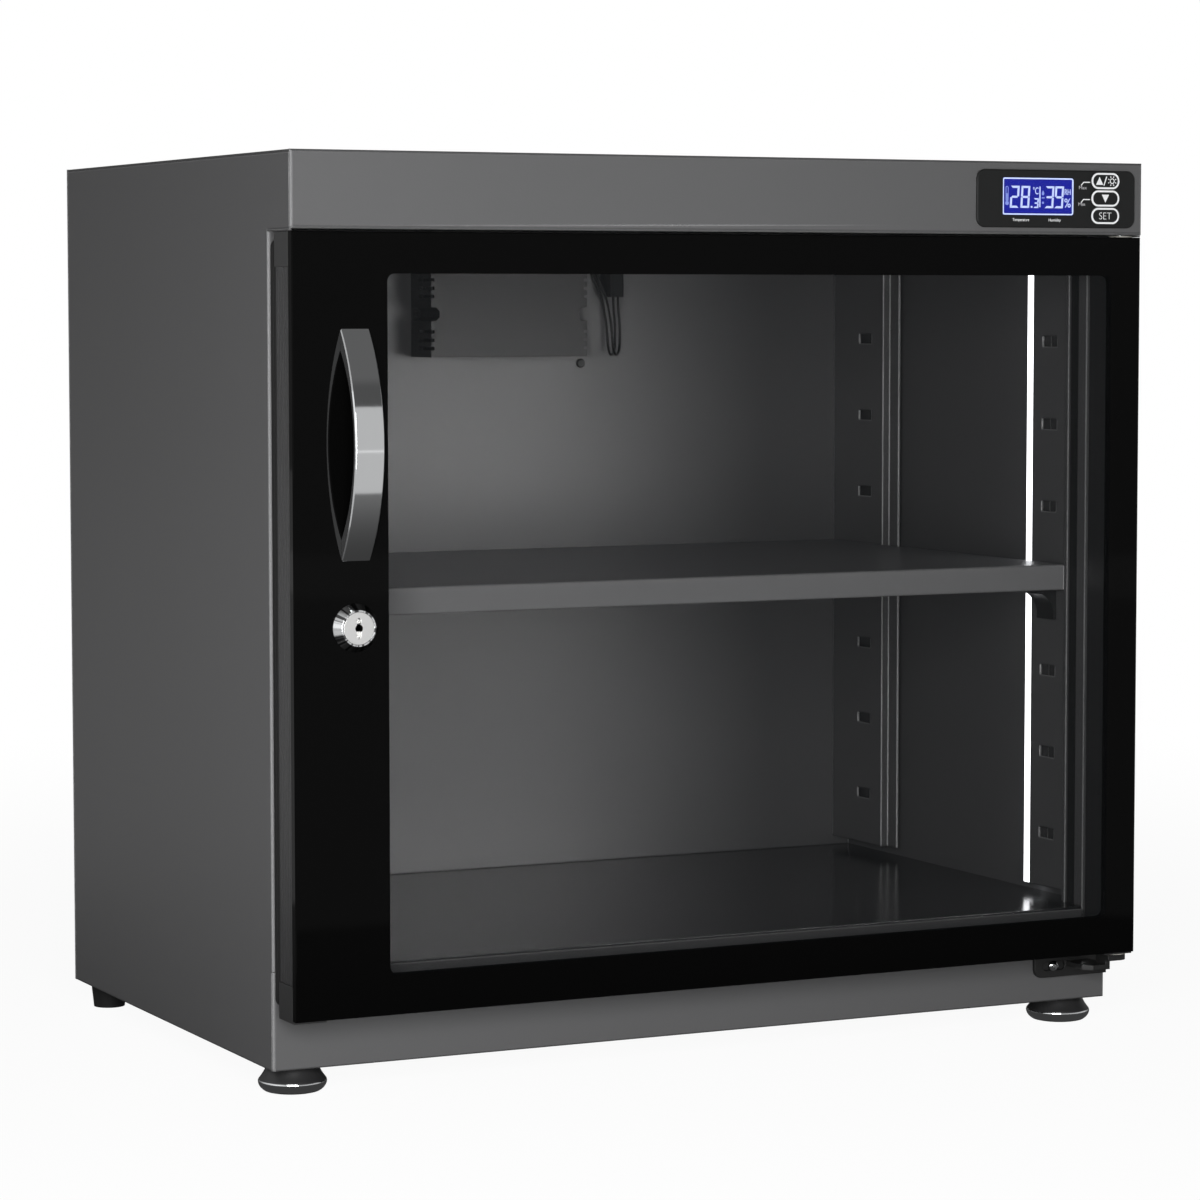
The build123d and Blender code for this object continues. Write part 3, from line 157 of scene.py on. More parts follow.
def clearWindow(shader, window, alpha):
    # see-through inside a rectangle with round corners, opaque outside it
    across = (shader.axis("X") - window["x"]).size() - (window["wide"] / 2 - window["corner"])
    up = (shader.axis("Z") - window["z"]).size() - (window["high"] / 2 - window["corner"])
    past = (across.most(0.0) ** 2.0 + up.most(0.0) ** 2.0) ** 0.5
    return past.above(window["corner"]) * (1.0 - alpha) + alpha


def scaled(base, share):
    # a colour made darker or lighter
    return tuple(c * share for c in base[:3]) + (1.0,)


def finish(name, base, rough, metal=0.0, spec=0.5, grain=0.0, grainScale=900.0, stretch=None,
           edge=0.0, edgeHighlightTone=2.2, edgeWidth=0.0006, shift=0.06, roughShift=0.04, coat=0.0, alpha=1.0,
           glow=0.0, window=None, hole=None, reflectionSectors=None):
    # one painted, moulded or plated surface: uneven tone, grain, softened edges, and where edge is set, a
    # painted highlight along its edges and painted shade under them
    shader = Shader(bpy.data.materials.new(name))
    tone = shader.noise(9.0, 3.0) * 2.0 - 1.0
    fine = shader.noise(grainScale, 2.0, stretch)
    colour = shader.mixed((tone * shift + 0.5) + (fine - 0.5) * shift, scaled(base, 0.72), scaled(base, 1.28))
    inputs = {"Roughness": (fine - 0.5) * roughShift + rough, "Metallic": metal, "Specular IOR Level": spec,
              "Coat Weight": coat, "Alpha": alpha if window is None else clearWindow(shader, window, alpha)}
    if window is not None:
        colour = shader.mixed(inputs["Alpha"].above(0.9), colour, grey(window["printed"]))
    if edge or edgeWidth:
        rounded = shader.node("Bevel", {"samples": 4}, {"Radius": edgeWidth})
    if edge:
        flat = shader.node("NewGeometry", None, None, "Normal")
        facing = shader.node("VectorMath", {"operation": "DOT_PRODUCT"}, {0: rounded, 1: flat}, "Value")
        # painted highlight: upright edges are made lighter, as if they catch the light; painted shade: edges
        # that turn down are made dark
        tilt = shader.node("SeparateXYZ", None, {0: rounded}, "Z")
        tilt = tilt - shader.node("SeparateXYZ", None, {0: flat}, "Z")
        edgeShade = (-1.0 * tilt).ramp(0.02, 0.12)
        edgeHighlight = (1.0 - facing).ramp(0.004, 0.06) * (1.0 - edgeShade) * (1.0 - tilt.ramp(0.02, 0.12) * 0.6) * edge
        bright = tuple(min(1.0, c * edgeHighlightTone + 0.03) for c in base[:3]) + (1.0,)
        colour = shader.mixed(edgeHighlight, colour, bright)
        colour = shader.mixed(edgeShade * edge * 0.8, colour, scaled(base, 0.15))
    if reflectionSectors is not None:
        # painted reflection: dark sectors round the bezel's axis, as its chrome reflects dark surroundings
        rise = shader.axis("Z") - reflectionSectors["z"]
        around = rise.maths("ARCTAN2", rise, shader.axis("X") - reflectionSectors["x"])
        sector = shader.node("TexNoise", {"noise_dimensions": "1D"},
                             {"W": around * reflectionSectors["count"], "Scale": 1.0}, 0)
        colour = shader.mixed(sector.ramp(0.42, 0.52), scaled(base, reflectionSectors["dark"]), colour)
    # painted shade: a near-black disc on the lock face where the keyway lies in shade
    if hole is not None:
        across = (shader.axis("X") - hole["x"]) ** 2.0 + (shader.axis("Z") - hole["z"]) ** 2.0
        colour = shader.mixed(across.above(hole["radius"] ** 2), grey(0.001), colour)
    inputs["Base Color"] = colour
    bump = {"Strength": grain, "Distance": 0.0002, "Height": fine}
    if edgeWidth:
        bump["Normal"] = rounded
    inputs["Normal"] = shader.node("Bump", None, bump)
    if glow:
        inputs["Emission Color"] = base
        inputs["Emission Strength"] = glow
    surface = shader.node("BsdfPrincipled", None, inputs)
    shader.node("OutputMaterial", None, {"Surface": surface})
    return shader.owner


# finishes, one for each material slot of the part
# edge sets how strong the painted edge highlight and painted edge shade are, and edgeHighlightTone how light
# the painted highlight is
paint = {"base": (0.112, 0.112, 0.114, 1), "rough": 0.45, "grain": 0.12, "grainScale": 1400.0, "edge": 1.0,
         "edgeHighlightTone": 4.4, "edgeWidth": 0.0011, "shift": 0.03, "spec": 0.12}
liner = {"base": (0.115, 0.115, 0.117, 1), "rough": 0.34, "grain": 0.10, "grainScale": 1400.0, "edge": 1.0,
         "edgeHighlightTone": 9.5, "edgeWidth": 0.0011, "shift": 0.03, "spec": 0.40}
doorWindow = {"x": 0.01385, "z": 0.2079, "wide": 0.3689, "high": 0.3038, "corner": 0.0035, "printed": 0.0018}
finishes = {
    "case_paint": finish("casePaint", **paint),
    "liner_paint": finish("linerPaint", **liner),
    "mask_print": finish("maskPrint", (0.0013, 0.0013, 0.0014, 1), 0.6, spec=0.08, grain=0.03, edgeWidth=0.0),
    "dark_profile": finish("anodisedProfile", (0.021, 0.021, 0.022, 1), 0.38, metal=0.25, grain=0.12,
                           grainScale=260.0, stretch=(1.0, 8.0, 0.04), edge=0.25, edgeWidth=0.0004),
    "black_plastic": finish("mouldedPlastic", (0.016, 0.016, 0.0165, 1), 0.46, grain=0.3, grainScale=2200.0,
                            edge=0.2, edgeWidth=0.0005),
    "panel_plastic": finish("panelPlastic", (0.011, 0.0115, 0.0115, 1), 0.5, spec=0.2, grain=0.2,
                            grainScale=3000.0, edge=0.35, edgeWidth=0.0004),
    "black_rubber": finish("rubber", (0.010, 0.010, 0.010, 1), 0.72, spec=0.3, grain=0.5, grainScale=1800.0),
    "lead_sheath": finish("leadSheath", (0.008, 0.008, 0.008, 1), 0.34, grain=0.08, grainScale=2500.0,
                          edgeWidth=0.0),
    "chrome": finish("chromePlate", (0.80, 0.81, 0.82, 1), 0.07, metal=1.0, grain=0.015, grainScale=500.0,
                     shift=0.02, roughShift=0.03, edgeWidth=0.0003),
    "zinc_steel": finish("zincSteel", (0.55, 0.56, 0.58, 1), 0.28, metal=1.0, grain=0.1, grainScale=2600.0,
                         edgeWidth=0.0002),
    "nylon": finish("nylon", (0.62, 0.60, 0.55, 1), 0.5, grain=0.2, grainScale=2400.0),
    "circuit_board": finish("circuitBoard", (0.010, 0.065, 0.025, 1), 0.4, grain=0.3, grainScale=2600.0,
                            coat=0.3),
    "bare_aluminium": finish("bareAluminium", (0.62, 0.63, 0.64, 1), 0.34, metal=1.0, grain=0.15,
                             grainScale=300.0, stretch=(8.0, 8.0, 0.05), edgeWidth=0.0003),
    "milky_plastic": finish("milkyPlastic", (0.96, 0.97, 1.0, 1), 0.4, grain=0.05, shift=0.0, glow=5.0),
    "desiccant": finish("desiccantBag", (0.55, 0.52, 0.47, 1), 0.85, grain=0.9, grainScale=700.0),
    "display_lens": finish("displayLens", (0.02, 0.02, 0.03, 1), 0.06, shift=0.0, alpha=0.05, edgeWidth=0.0),
    "display_lit": finish("displayBlue", (0.008, 0.012, 0.25, 1), 0.45, spec=0.2, shift=0.0, glow=0.5,
                          edgeWidth=0.0),
    "tinted_glass": finish("tintedGlass", (0.012, 0.013, 0.014, 1), 0.03, spec=0.05, shift=0.02,
                           roughShift=0.01, alpha=0.25, edgeWidth=0.0, window=doorWindow),
}
# its dark sectors are a painted reflection in the chrome
lockRing = finish("lockRing", (0.86, 0.87, 0.88, 1), 0.10, metal=1.0, grain=0.02, grainScale=800.0, shift=0.02,
                  edgeWidth=0.0003, reflectionSectors={"x": -0.1862, "z": 0.2078, "count": 3.2, "dark": 0.12})
# its hole is painted shade: a near-black disc where the keyway lies in shade
lockFace = finish("lockFace", (0.86, 0.86, 0.85, 1), 0.34, metal=1.0, grain=0.04, grainScale=1800.0, shift=0.02,
                  edgeWidth=0.0003, hole={"x": -0.1862, "z": 0.2078, "radius": 0.00175})
floorFinish = finish("floorEnamel", (0.020, 0.020, 0.021, 1), 0.17, grain=0.05, grainScale=1400.0, edge=0.3)
hingeFinish = finish("hingeEnamel", (0.012, 0.012, 0.012, 1), 0.36, grain=0.12, grainScale=1400.0, edge=0.15)
# painted light: the white and grey print glows a little, though it is no lamp
printFinish = finish("whitePrint", (0.78, 0.79, 0.80, 1), 0.55, grain=0.1, glow=0.15, edgeWidth=0.0)
faintPrint = finish("greyPrint", (0.50, 0.50, 0.51, 1), 0.55, grain=0.1, glow=0.05, edgeWidth=0.0)
litFigure = finish("litFigure", (0.50, 0.58, 0.86, 1), 0.5, shift=0.0, glow=0.5, edgeWidth=0.0)
faintFigure = finish("faintFigure", (0.20, 0.26, 0.62, 1), 0.5, shift=0.0, glow=0.5, edgeWidth=0.0)
footEnamel = finish("footCone", (0.045, 0.045, 0.046, 1), 0.36, metal=0.5, grain=0.05, grainScale=900.0)
finishes["black_steel"] = hingeFinish
print("finishes:", len(bpy.data.materials))

special = {"floor_pan": floorFinish, "lock_plug": lockFace, "lock_barrel": lockRing}
for subpart in frame["record"]["subparts"]:
    carried = nodes[subpart["node"]]
    chosen = special.get(subpart["node"], finishes[subpart["material_slot"]])
    carried.data.materials.clear()
    carried.data.materials.append(chosen)


def rideOn(made, body):
    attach(made, body)
    return made


def solid(name, mesh, materials, body):
    # a finished mesh, at the origin, that moves with one body
    for material in materials:
        mesh.materials.append(material)
    mesh.validate()
    made = bpy.data.objects.new(name, mesh)
    bpy.context.scene.collection.objects.link(made)
    return rideOn(made, body)


def outlined(name, outlines, front, thick, material, body):
    # flat figures on an upright face: each outline is a list of (x, z) in metres, or one such list and
    # its hole, with a start and depth of its own where it has them
    build = bmesh.new()
    for outline in outlines:
        hole, start, deep = None, front, thick
        if isinstance(outline, tuple):
            outline, hole, *own = outline
            start, deep = own or (front, thick)
        rims = []
        for points in (outline, hole):
            if points:
                near = [build.verts.new((x, start, z)) for x, z in points]
                far = [build.verts.new((x, start + deep, z)) for x, z in points]
                rims.append((near, far))
                for k in range(len(points)):
                    build.faces.new((near[k], near[k - 1], far[k - 1], far[k]))
        if hole:
            (near, far), (nearIn, farIn) = rims
            for k in range(len(near)):
                build.faces.new((near[k - 1], near[k], nearIn[k], nearIn[k - 1]))
                build.faces.new((far[k], far[k - 1], farIn[k - 1], farIn[k]))
        else:
            build.faces.new(rims[0][0])
            build.faces.new(rims[0][1][::-1])
    bmesh.ops.recalc_face_normals(build, faces=build.faces)
    mesh = bpy.data.meshes.new(name)
    build.to_mesh(mesh)
    build.free()
    return solid(name, mesh, [material], body)


def ovalOutline(x, z, wide, high, radius, steps=8):
    # a rectangle with round corners
    points = []
    for turn, (sideX, sideZ) in enumerate(((1, 1), (-1, 1), (-1, -1), (1, -1))):
        for k in range(steps + 1):
            angle = (turn + k / steps) * pi / 2
            points.append((x + sideX * (wide / 2 - radius) + radius * cos(angle),
                           z + sideZ * (high / 2 - radius) + radius * sin(angle)))
    return points


def ring(x, z, wide, high, radius, line):
    return (ovalOutline(x, z, wide, high, radius),
            ovalOutline(x, z, wide - 2 * line, high - 2 * line, max(radius - line, 0.0001)))


def upright(x1, x2, low, high):
    return [(x1, low), (x2, low), (x2, high), (x1, high)]


def strokeOutline(x1, z1, x2, z2, line):
    # a straight stroke with square ends
    along = Vector((x2 - x1, z2 - z1)).normalized() * (line / 2)
    across = Vector((-along.y, along.x))
    return [(x1 + across.x, z1 + across.y), (x1 - across.x, z1 - across.y),
            (x2 - across.x, z2 - across.y), (x2 + across.x, z2 + across.y)]


def lettering(name, words, x, z, high, wide, front, thick, material, body, weight=0.0):
    # words set flat on an upright face, stretched to their width, centred on x with z at mid height
    curve = bpy.data.curves.new(name + "Font", "FONT")
    curve.body = words
    curve.extrude = 0.5
    curve.offset = weight
    holder = bpy.data.objects.new(name + "Font", curve)
    bpy.context.scene.collection.objects.link(holder)
    bpy.context.view_layer.update()
    mesh = bpy.data.meshes.new_from_object(holder.evaluated_get(bpy.context.evaluated_depsgraph_get()))
    mesh.name = name
    xs = [v.co.x for v in mesh.vertices]
    ys = [v.co.y for v in mesh.vertices]
    midX, midY = (min(xs) + max(xs)) / 2, (min(ys) + max(ys)) / 2
    scaleX, scaleZ = wide / (max(xs) - min(xs)), high / (max(ys) - min(ys))
    for vertex in mesh.vertices:
        vertex.co = (x + (vertex.co.x - midX) * scaleX, front + (0.5 - vertex.co.z) * thick,
                     z + (vertex.co.y - midY) * scaleZ)
    bpy.data.objects.remove(holder)
    made = bmesh.new()
    made.from_mesh(mesh)
    bmesh.ops.remove_doubles(made, verts=made.verts, dist=1e-7)
    bmesh.ops.recalc_face_normals(made, faces=made.faces)
    made.to_mesh(mesh)
    made.free()
    return solid(name, mesh, [material], body)


# display figures: millimetres from the window's top left corner, in front of the blue cell
display = {"left": 137.9, "top": 404.9, "wide": 38.6, "high": 17.1, "front": -139.92, "thick": 0.18,
           "stroke": 1.0, "gap": 0.10, "slant": 0.06, "rimFront": -0.14112, "rimDeep": 0.00032}


def atDisplay(right, down):
    return ((display["left"] + right) / 1000, (display["top"] - down) / 1000)


def digit(figure, left, top, wide, high, line):
    # a seven-segment figure, leaning a little
    bars = {"0": "abcdef", "1": "bc", "2": "abged", "3": "abgcd", "8": "abcdefg", "9": "abcfgd"}[figure]
    half = line / 2
    gap = display["gap"]
    x0, x1 = left, left + wide
    y0, y1, y2 = top, top + high / 2, top + high
    shapes = {
        "a": [(x0 + gap, y0), (x1 - gap, y0), (x1 - line - gap, y0 + line), (x0 + line + gap, y0 + line)],
        "d": [(x0 + gap, y2), (x1 - gap, y2), (x1 - line - gap, y2 - line), (x0 + line + gap, y2 - line)],
        "g": [(x0 + gap + half, y1), (x0 + gap + line, y1 - half), (x1 - gap - line, y1 - half),
              (x1 - gap - half, y1), (x1 - gap - line, y1 + half), (x0 + gap + line, y1 + half)],
    }
    # the four upright bars, each drawn from its outer end towards the middle
    for bar, side, end, away in (("f", x0, y0, 1), ("b", x1, y0, 1), ("e", x0, y2, -1), ("c", x1, y2, -1)):
        inward = 1 if side == x0 else -1
        shapes[bar] = [(side, end + away * gap), (side + inward * line, end + away * (line + gap)),
                       (side + inward * line, y1 - away * (half + gap)),
                       (side + inward * half * 0.6, y1 - away * gap),
                       (side, y1 - away * (gap + half * 0.4))]
    middle = top + high / 2
    return [[atDisplay(x + (middle - y) * display["slant"], y) for x, y in shapes[bar]] for bar in bars]


figures = []
for figure, left in (("2", 4.9), ("8", 10.7), ("3", 23.9), ("9", 29.2)):
    figures += digit(figure, left, 3.7, 4.7, 10.2, display["stroke"])
figures += digit("3", 17.6, 9.3, 2.7, 4.6, 0.7)
figures.append(ovalOutline(*atDisplay(16.5, 13.4), 0.0009, 0.0009, 0.0002, 3))       # decimal point
figures.append([atDisplay(20.75, 3.9), atDisplay(20.75, 13.5), atDisplay(21.3, 13.5), atDisplay(21.3, 3.9)])
icons = [ovalOutline(*atDisplay(3.1, 11.7), 0.0019, 0.0019, 0.0009, 5),               # thermometer bulb
         ring(*atDisplay(3.1, 7.4), 0.0015, 0.0070, 0.0007, 0.0003),
         [atDisplay(2.8, 7.2), atDisplay(2.8, 11.0), atDisplay(3.4, 11.0), atDisplay(3.4, 7.2)],
         [atDisplay(22.7, 5.7), atDisplay(22.0, 7.0), atDisplay(22.3, 7.9), atDisplay(23.1, 7.9),
          atDisplay(23.4, 7.0)],
         [atDisplay(22.0, 8.9), atDisplay(22.0, 9.4), atDisplay(23.6, 9.4), atDisplay(23.6, 8.9)],
         [atDisplay(22.2, 10.9), atDisplay(22.2, 11.9), atDisplay(23.2, 11.9), atDisplay(23.2, 10.9)]]
back = display["front"] / 1000
thick = display["thick"] / 1000
outlined("displayFigures", figures, back, thick, litFigure, "cabinet")
outlined("displayIcons", icons, back, thick, faintFigure, "cabinet")
rimWide, rimHigh = display["wide"], display["high"]
rim = ring(*atDisplay(rimWide / 2, rimHigh / 2), rimWide / 1000, rimHigh / 1000, 0.0012, 0.0006)
outlined("displayRim", [rim], display["rimFront"], display["rimDeep"], litFigure, "cabinet")
for name, words, right, down, high, wide in (("degreeSign", "°C", 18.75, 5.85, 3.4, 2.9),
                                             ("humidityUnit", "RH", 36.2, 6.3, 2.6, 3.2),
                                             ("percentSign", "%", 36.2, 11.4, 4.2, 3.4)):
    x, z = atDisplay(right, down)
    lettering(name, words, x, z, high / 1000, wide / 1000, back, thick, litFigure, "cabinet")
print("display figures done")

# print on the bezel: captions, and the two lines that lead to the buttons
bezelPrint = {"front": -0.14146, "thick": 0.0001, "line": 0.00045}
for name, words, right, down, high, wide in (("captionTemperature", "Temperature", 9.7, 19.6, 1.7, 9.0),
                                             ("captionHumidity", "Humidity", 28.2, 19.6, 1.7, 6.6),
                                             ("captionMax", "Max", 43.6, 4.2, 1.5, 4.3),
                                             ("captionMin", "Min", 43.0, 11.9, 1.5, 3.6)):
    x, z = atDisplay(right, down)
    lettering(name, words, x, z, high / 1000, wide / 1000, bezelPrint["front"], bezelPrint["thick"],
              printFinish if right < 40 else faintPrint, "cabinet")
leaders = []
for right, down in ((42.6, 3.2), (42.6, 11.2)):
    bendX, bendZ = atDisplay(right + 1.4, down - 1.5)
    startX, startZ = atDisplay(right, down)
    endX, endZ = atDisplay(47.6, down - 1.5)
    leaders.append(strokeOutline(startX, startZ, bendX, bendZ, bezelPrint["line"]))
    leaders.append(strokeOutline(bendX - 0.0001, bendZ, endX, endZ, bezelPrint["line"]))
outlined("leaderLines", leaders, bezelPrint["front"], bezelPrint["thick"], printFinish, "cabinet")

# buttons: a white rim round each cap, and its sign
buttons = {"x": 0.19355, "heights": {"button_up": 0.40388, "button_down": 0.39575, "button_set": 0.38762},
           "wide": 0.0153, "high": 0.0075, "line": 0.00085, "front": -0.14222, "rimDeep": 0.0005,
           "signFront": -0.14219, "signDeep": 0.00015}
for body, z in buttons["heights"].items():
    rim = ring(buttons["x"], z, buttons["wide"], buttons["high"], buttons["high"] / 2 - 0.0001, buttons["line"])
    outlined(body + "Rim", [rim], buttons["front"], buttons["rimDeep"], printFinish, body)
x = buttons["x"]
z = buttons["heights"]["button_up"]
signs = [[(x - 0.0053, z - 0.0018), (x - 0.0033, z + 0.0019), (x - 0.0013, z - 0.0018)],
         strokeOutline(x - 0.0009, z - 0.0021, x + 0.0006, z + 0.0021, 0.00055),
         ring(x + 0.0037, z, 0.0026, 0.0026, 0.00129, 0.00042)]
for k in range(8):
    turn = k * pi / 4 + pi / 8
    signs.append(strokeOutline(x + 0.0037 + 0.0017 * cos(turn), z + 0.0017 * sin(turn),
                               x + 0.0037 + 0.0024 * cos(turn), z + 0.0024 * sin(turn), 0.00045))
signFront = buttons["signFront"]
outlined("signUp", signs, signFront, buttons["signDeep"], printFinish, "button_up")
z = buttons["heights"]["button_down"]
outlined("signDown", [[(x - 0.0020, z + 0.0018), (x + 0.0020, z + 0.0018), (x, z - 0.0019)]], signFront,
         buttons["signDeep"], printFinish, "button_down")
lettering("signSet", "SET", x, buttons["heights"]["button_set"], 0.0032, 0.0068, signFront, buttons["signDeep"],
          printFinish, "button_set", weight=-0.018)
print("panel print done")


# door: its print with a clear window, and the ribbed seal behind its frame
door = {"half": 0.2146, "low": 0.0382, "high": 0.3776, "printFront": -0.1362, "printThick": 0.0002,
        "clearRight": 0.1995}
clearLeft = doorWindow["x"] - doorWindow["wide"] / 2
printHole = ovalOutline((clearLeft + door["clearRight"]) / 2, doorWindow["z"], door["clearRight"] - clearLeft,
                        doorWindow["high"], doorWindow["corner"])
printRim = ovalOutline(0.0, (door["low"] + door["high"]) / 2, 2 * door["half"], door["high"] - door["low"],
                       0.0010)
made = outlined("doorPrint", [(printRim, printHole)], door["printFront"], door["printThick"],
                finishes["mask_print"], "door")
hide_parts("glass_mask")
# the seal reaches out to the door's edges: it is a real rubber seal, and its black also stands in for the shade
# in the gap between door and body
seal = {"back": -0.1202, "half": 0.2141, "wide": 0.0080, "low": 0.0408, "high": 0.3750,
        "ribs": ((0.0, 0.0016, 0.2141), (0.0016, 0.0012, 0.2133), (0.0028, 0.0012, 0.2141),
                 (0.0040, 0.0010, 0.2133), (0.0050, 0.0012, 0.2140))}
sealZ, sealHigh = (seal["low"] + seal["high"]) / 2, seal["high"] - seal["low"]
ribs = []
for start, deep, reach in seal["ribs"]:
    outer = ovalOutline(0.0, sealZ, 2 * reach, sealHigh - 2 * (seal["half"] - reach), 0.0040)
    inner = ovalOutline(0.0, sealZ, 2 * (seal["half"] - seal["wide"]), sealHigh - 2 * seal["wide"], 0.0010)
    ribs.append((outer, inner, seal["back"] + start, deep))
made = outlined("doorSeal", ribs, 0.0, 0.0, finishes["black_rubber"], "door")
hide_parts("door_gasket")

# fascia: the side sheets' lips, which close the gap over the door at both ends
lips = {"inner": 0.2141, "outer": 0.2152, "low": 0.3779, "high": 0.3788, "front": -0.1388, "deep": 0.0250}
outlined("fasciaLips", [upright(sign * lips["inner"], sign * lips["outer"], lips["low"], lips["high"])
                        for sign in (-1, 1)],
         lips["front"], lips["deep"], finishes["case_paint"], "cabinet")

# door opening: the folds of its side returns, and between them a dark strip that is painted shade in the gap
# there
folds = {"low": 0.0500, "high": 0.3660, "face": 0.2027,
         "lips": ((-0.0982, 0.0013, 0.0003), (-0.1137, 0.0008, 0.0003)), "strips": ((-0.1062, 0.0064, 0.0001),)}
for name, kind, slotName in (("returnLips", "lips", "liner_paint"), ("returnStrips", "strips", "black_rubber")):
    bars = []
    for sign in (-1, 1):
        for start, deep, proud in folds[kind]:
            bar = upright(sign * (folds["face"] - proud), sign * folds["face"], folds["low"], folds["high"])
            bars.append((bar, None, start, deep))
    outlined(name, bars, 0.0, 0.0, finishes[slotName], "cabinet")

# hinge bracket: a dark plate that fills its slot, painted shade where the slot lies in shadow
slotShade = {"x": 0.1853, "z": 0.0297, "wide": 0.0125, "high": 0.0042, "front": -0.1150, "thick": 0.0010}
shadePlate = ovalOutline(slotShade["x"], slotShade["z"], slotShade["wide"], slotShade["high"], slotShade["high"] / 2 - 0.0001)
outlined("hingeSlotShade", [shadePlate], slotShade["front"], slotShade["thick"], hingeFinish, "cabinet")
print("door and hinge trim done")


# levelling feet: one turned profile each, dark cone above a plated rim
foot = {"at": ((-0.1996, "foot_left", "levelling_foot_left"), (0.1996, "foot_right", "levelling_foot_right")),
        "y": -0.0971, "steps": 64,
        "profile": [(0.0, 0.0002), (0.0112, 0.0002), (0.0124, 0.0005), (0.0132, 0.0010), (0.0141, 0.0018),
                    (0.0148, 0.0028), (0.0152, 0.0038), (0.0153, 0.0047), (0.0151, 0.0054), (0.0146, 0.0061),
                    (0.0139, 0.0070), (0.0131, 0.0082), (0.0122, 0.0098), (0.0115, 0.0112), (0.0110, 0.0122),
                    (0.0040, 0.0122), (0.0040, 0.0364), (0.0, 0.0364)],
        "plated": 0.0052, "sole": 0.0008, "stud": 0.0045}
for footX, body, node in foot["at"]:
    build = bmesh.new()
    rings = []
    for radius, height in foot["profile"]:
        if radius == 0.0:
            rings.append([build.verts.new((footX, foot["y"], height))])
            continue
        rings.append([build.verts.new((footX + radius * cos(2 * pi * k / foot["steps"]),
                                       foot["y"] + radius * sin(2 * pi * k / foot["steps"]), height))
                      for k in range(foot["steps"])])
    for (lower, upper) in zip(rings, rings[1:]):
        for k in range(foot["steps"]):
            if len(lower) == 1:
                corners = (lower[0], upper[k], upper[k - 1])
            elif len(upper) == 1:
                corners = (lower[k - 1], lower[k], upper[0])
            else:
                corners = (lower[k - 1], lower[k], upper[k], upper[k - 1])
            face = build.faces.new(corners)
            mid = sum(v.co.z for v in corners) / len(corners)
            wide = max((v.co.xy - Vector((footX, foot["y"]))).length for v in corners)
            plated = mid < foot["plated"] or wide < foot["stud"]
            face.material_index = 2 if mid < foot["sole"] else (0 if plated else 1)
            face.smooth = True
    bmesh.ops.recalc_face_normals(build, faces=build.faces)
    mesh = bpy.data.meshes.new(body + "Turned")
    build.to_mesh(mesh)
    build.free()
    made = solid(body + "Turned", mesh, [finishes["chrome"], footEnamel, finishes["black_rubber"]], body)
    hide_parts(node)
print("feet done")


# screw heads: a domed head with a cross recess, set on a list of points by one geometry tree
class Geometry:
    # a geometry node tree, built a node at a time
    def __init__(self, name):
        self.tree = bpy.data.node_groups.new(name, "GeometryNodeTree")
        self.tree.interface.new_socket("Geometry", in_out="OUTPUT", socket_type="NodeSocketGeometry")
        self.tree.interface.new_socket("Geometry", in_out="INPUT", socket_type="NodeSocketGeometry")
        self.start = self.tree.nodes.new("NodeGroupInput")
        self.end = self.tree.nodes.new("NodeGroupOutput")
        self.sizes = {}

    def size(self, name, value, kind="NodeSocketFloat"):
        socket = self.tree.interface.new_socket(name, in_out="INPUT", socket_type=kind)
        if value is not None:
            socket.default_value = value
        self.sizes[name] = socket.identifier
        return self.start.outputs[name]

    def node(self, kind, settings=None, inputs=None, output=0):
        made = self.tree.nodes.new(kind)
        for name, value in (settings or {}).items():
            setattr(made, name, value)
        for name, value in (inputs or {}).items():
            for part in (value if isinstance(value, list) else [value]):
                if isinstance(part, bpy.types.NodeSocket):
                    self.tree.links.new(part, made.inputs[name])
                else:
                    made.inputs[name].default_value = part
        return made.outputs[output]

    def maths(self, operation, first, second):
        return self.node("ShaderNodeMath", {"operation": operation}, {0: first, 1: second})

    def vector(self, x=0.0, y=0.0, z=0.0):
        return self.node("ShaderNodeCombineXYZ", None, {0: x, 1: y, 2: z})

    def moved(self, mesh, shift=None, turn=None):
        inputs = {"Geometry": mesh}
        if shift is not None:
            inputs["Translation"] = shift
        if turn is not None:
            inputs["Rotation"] = turn
        return self.node("GeometryNodeTransform", None, inputs)

    def done(self, result):
        self.tree.links.new(result, self.end.inputs[0])
        return self


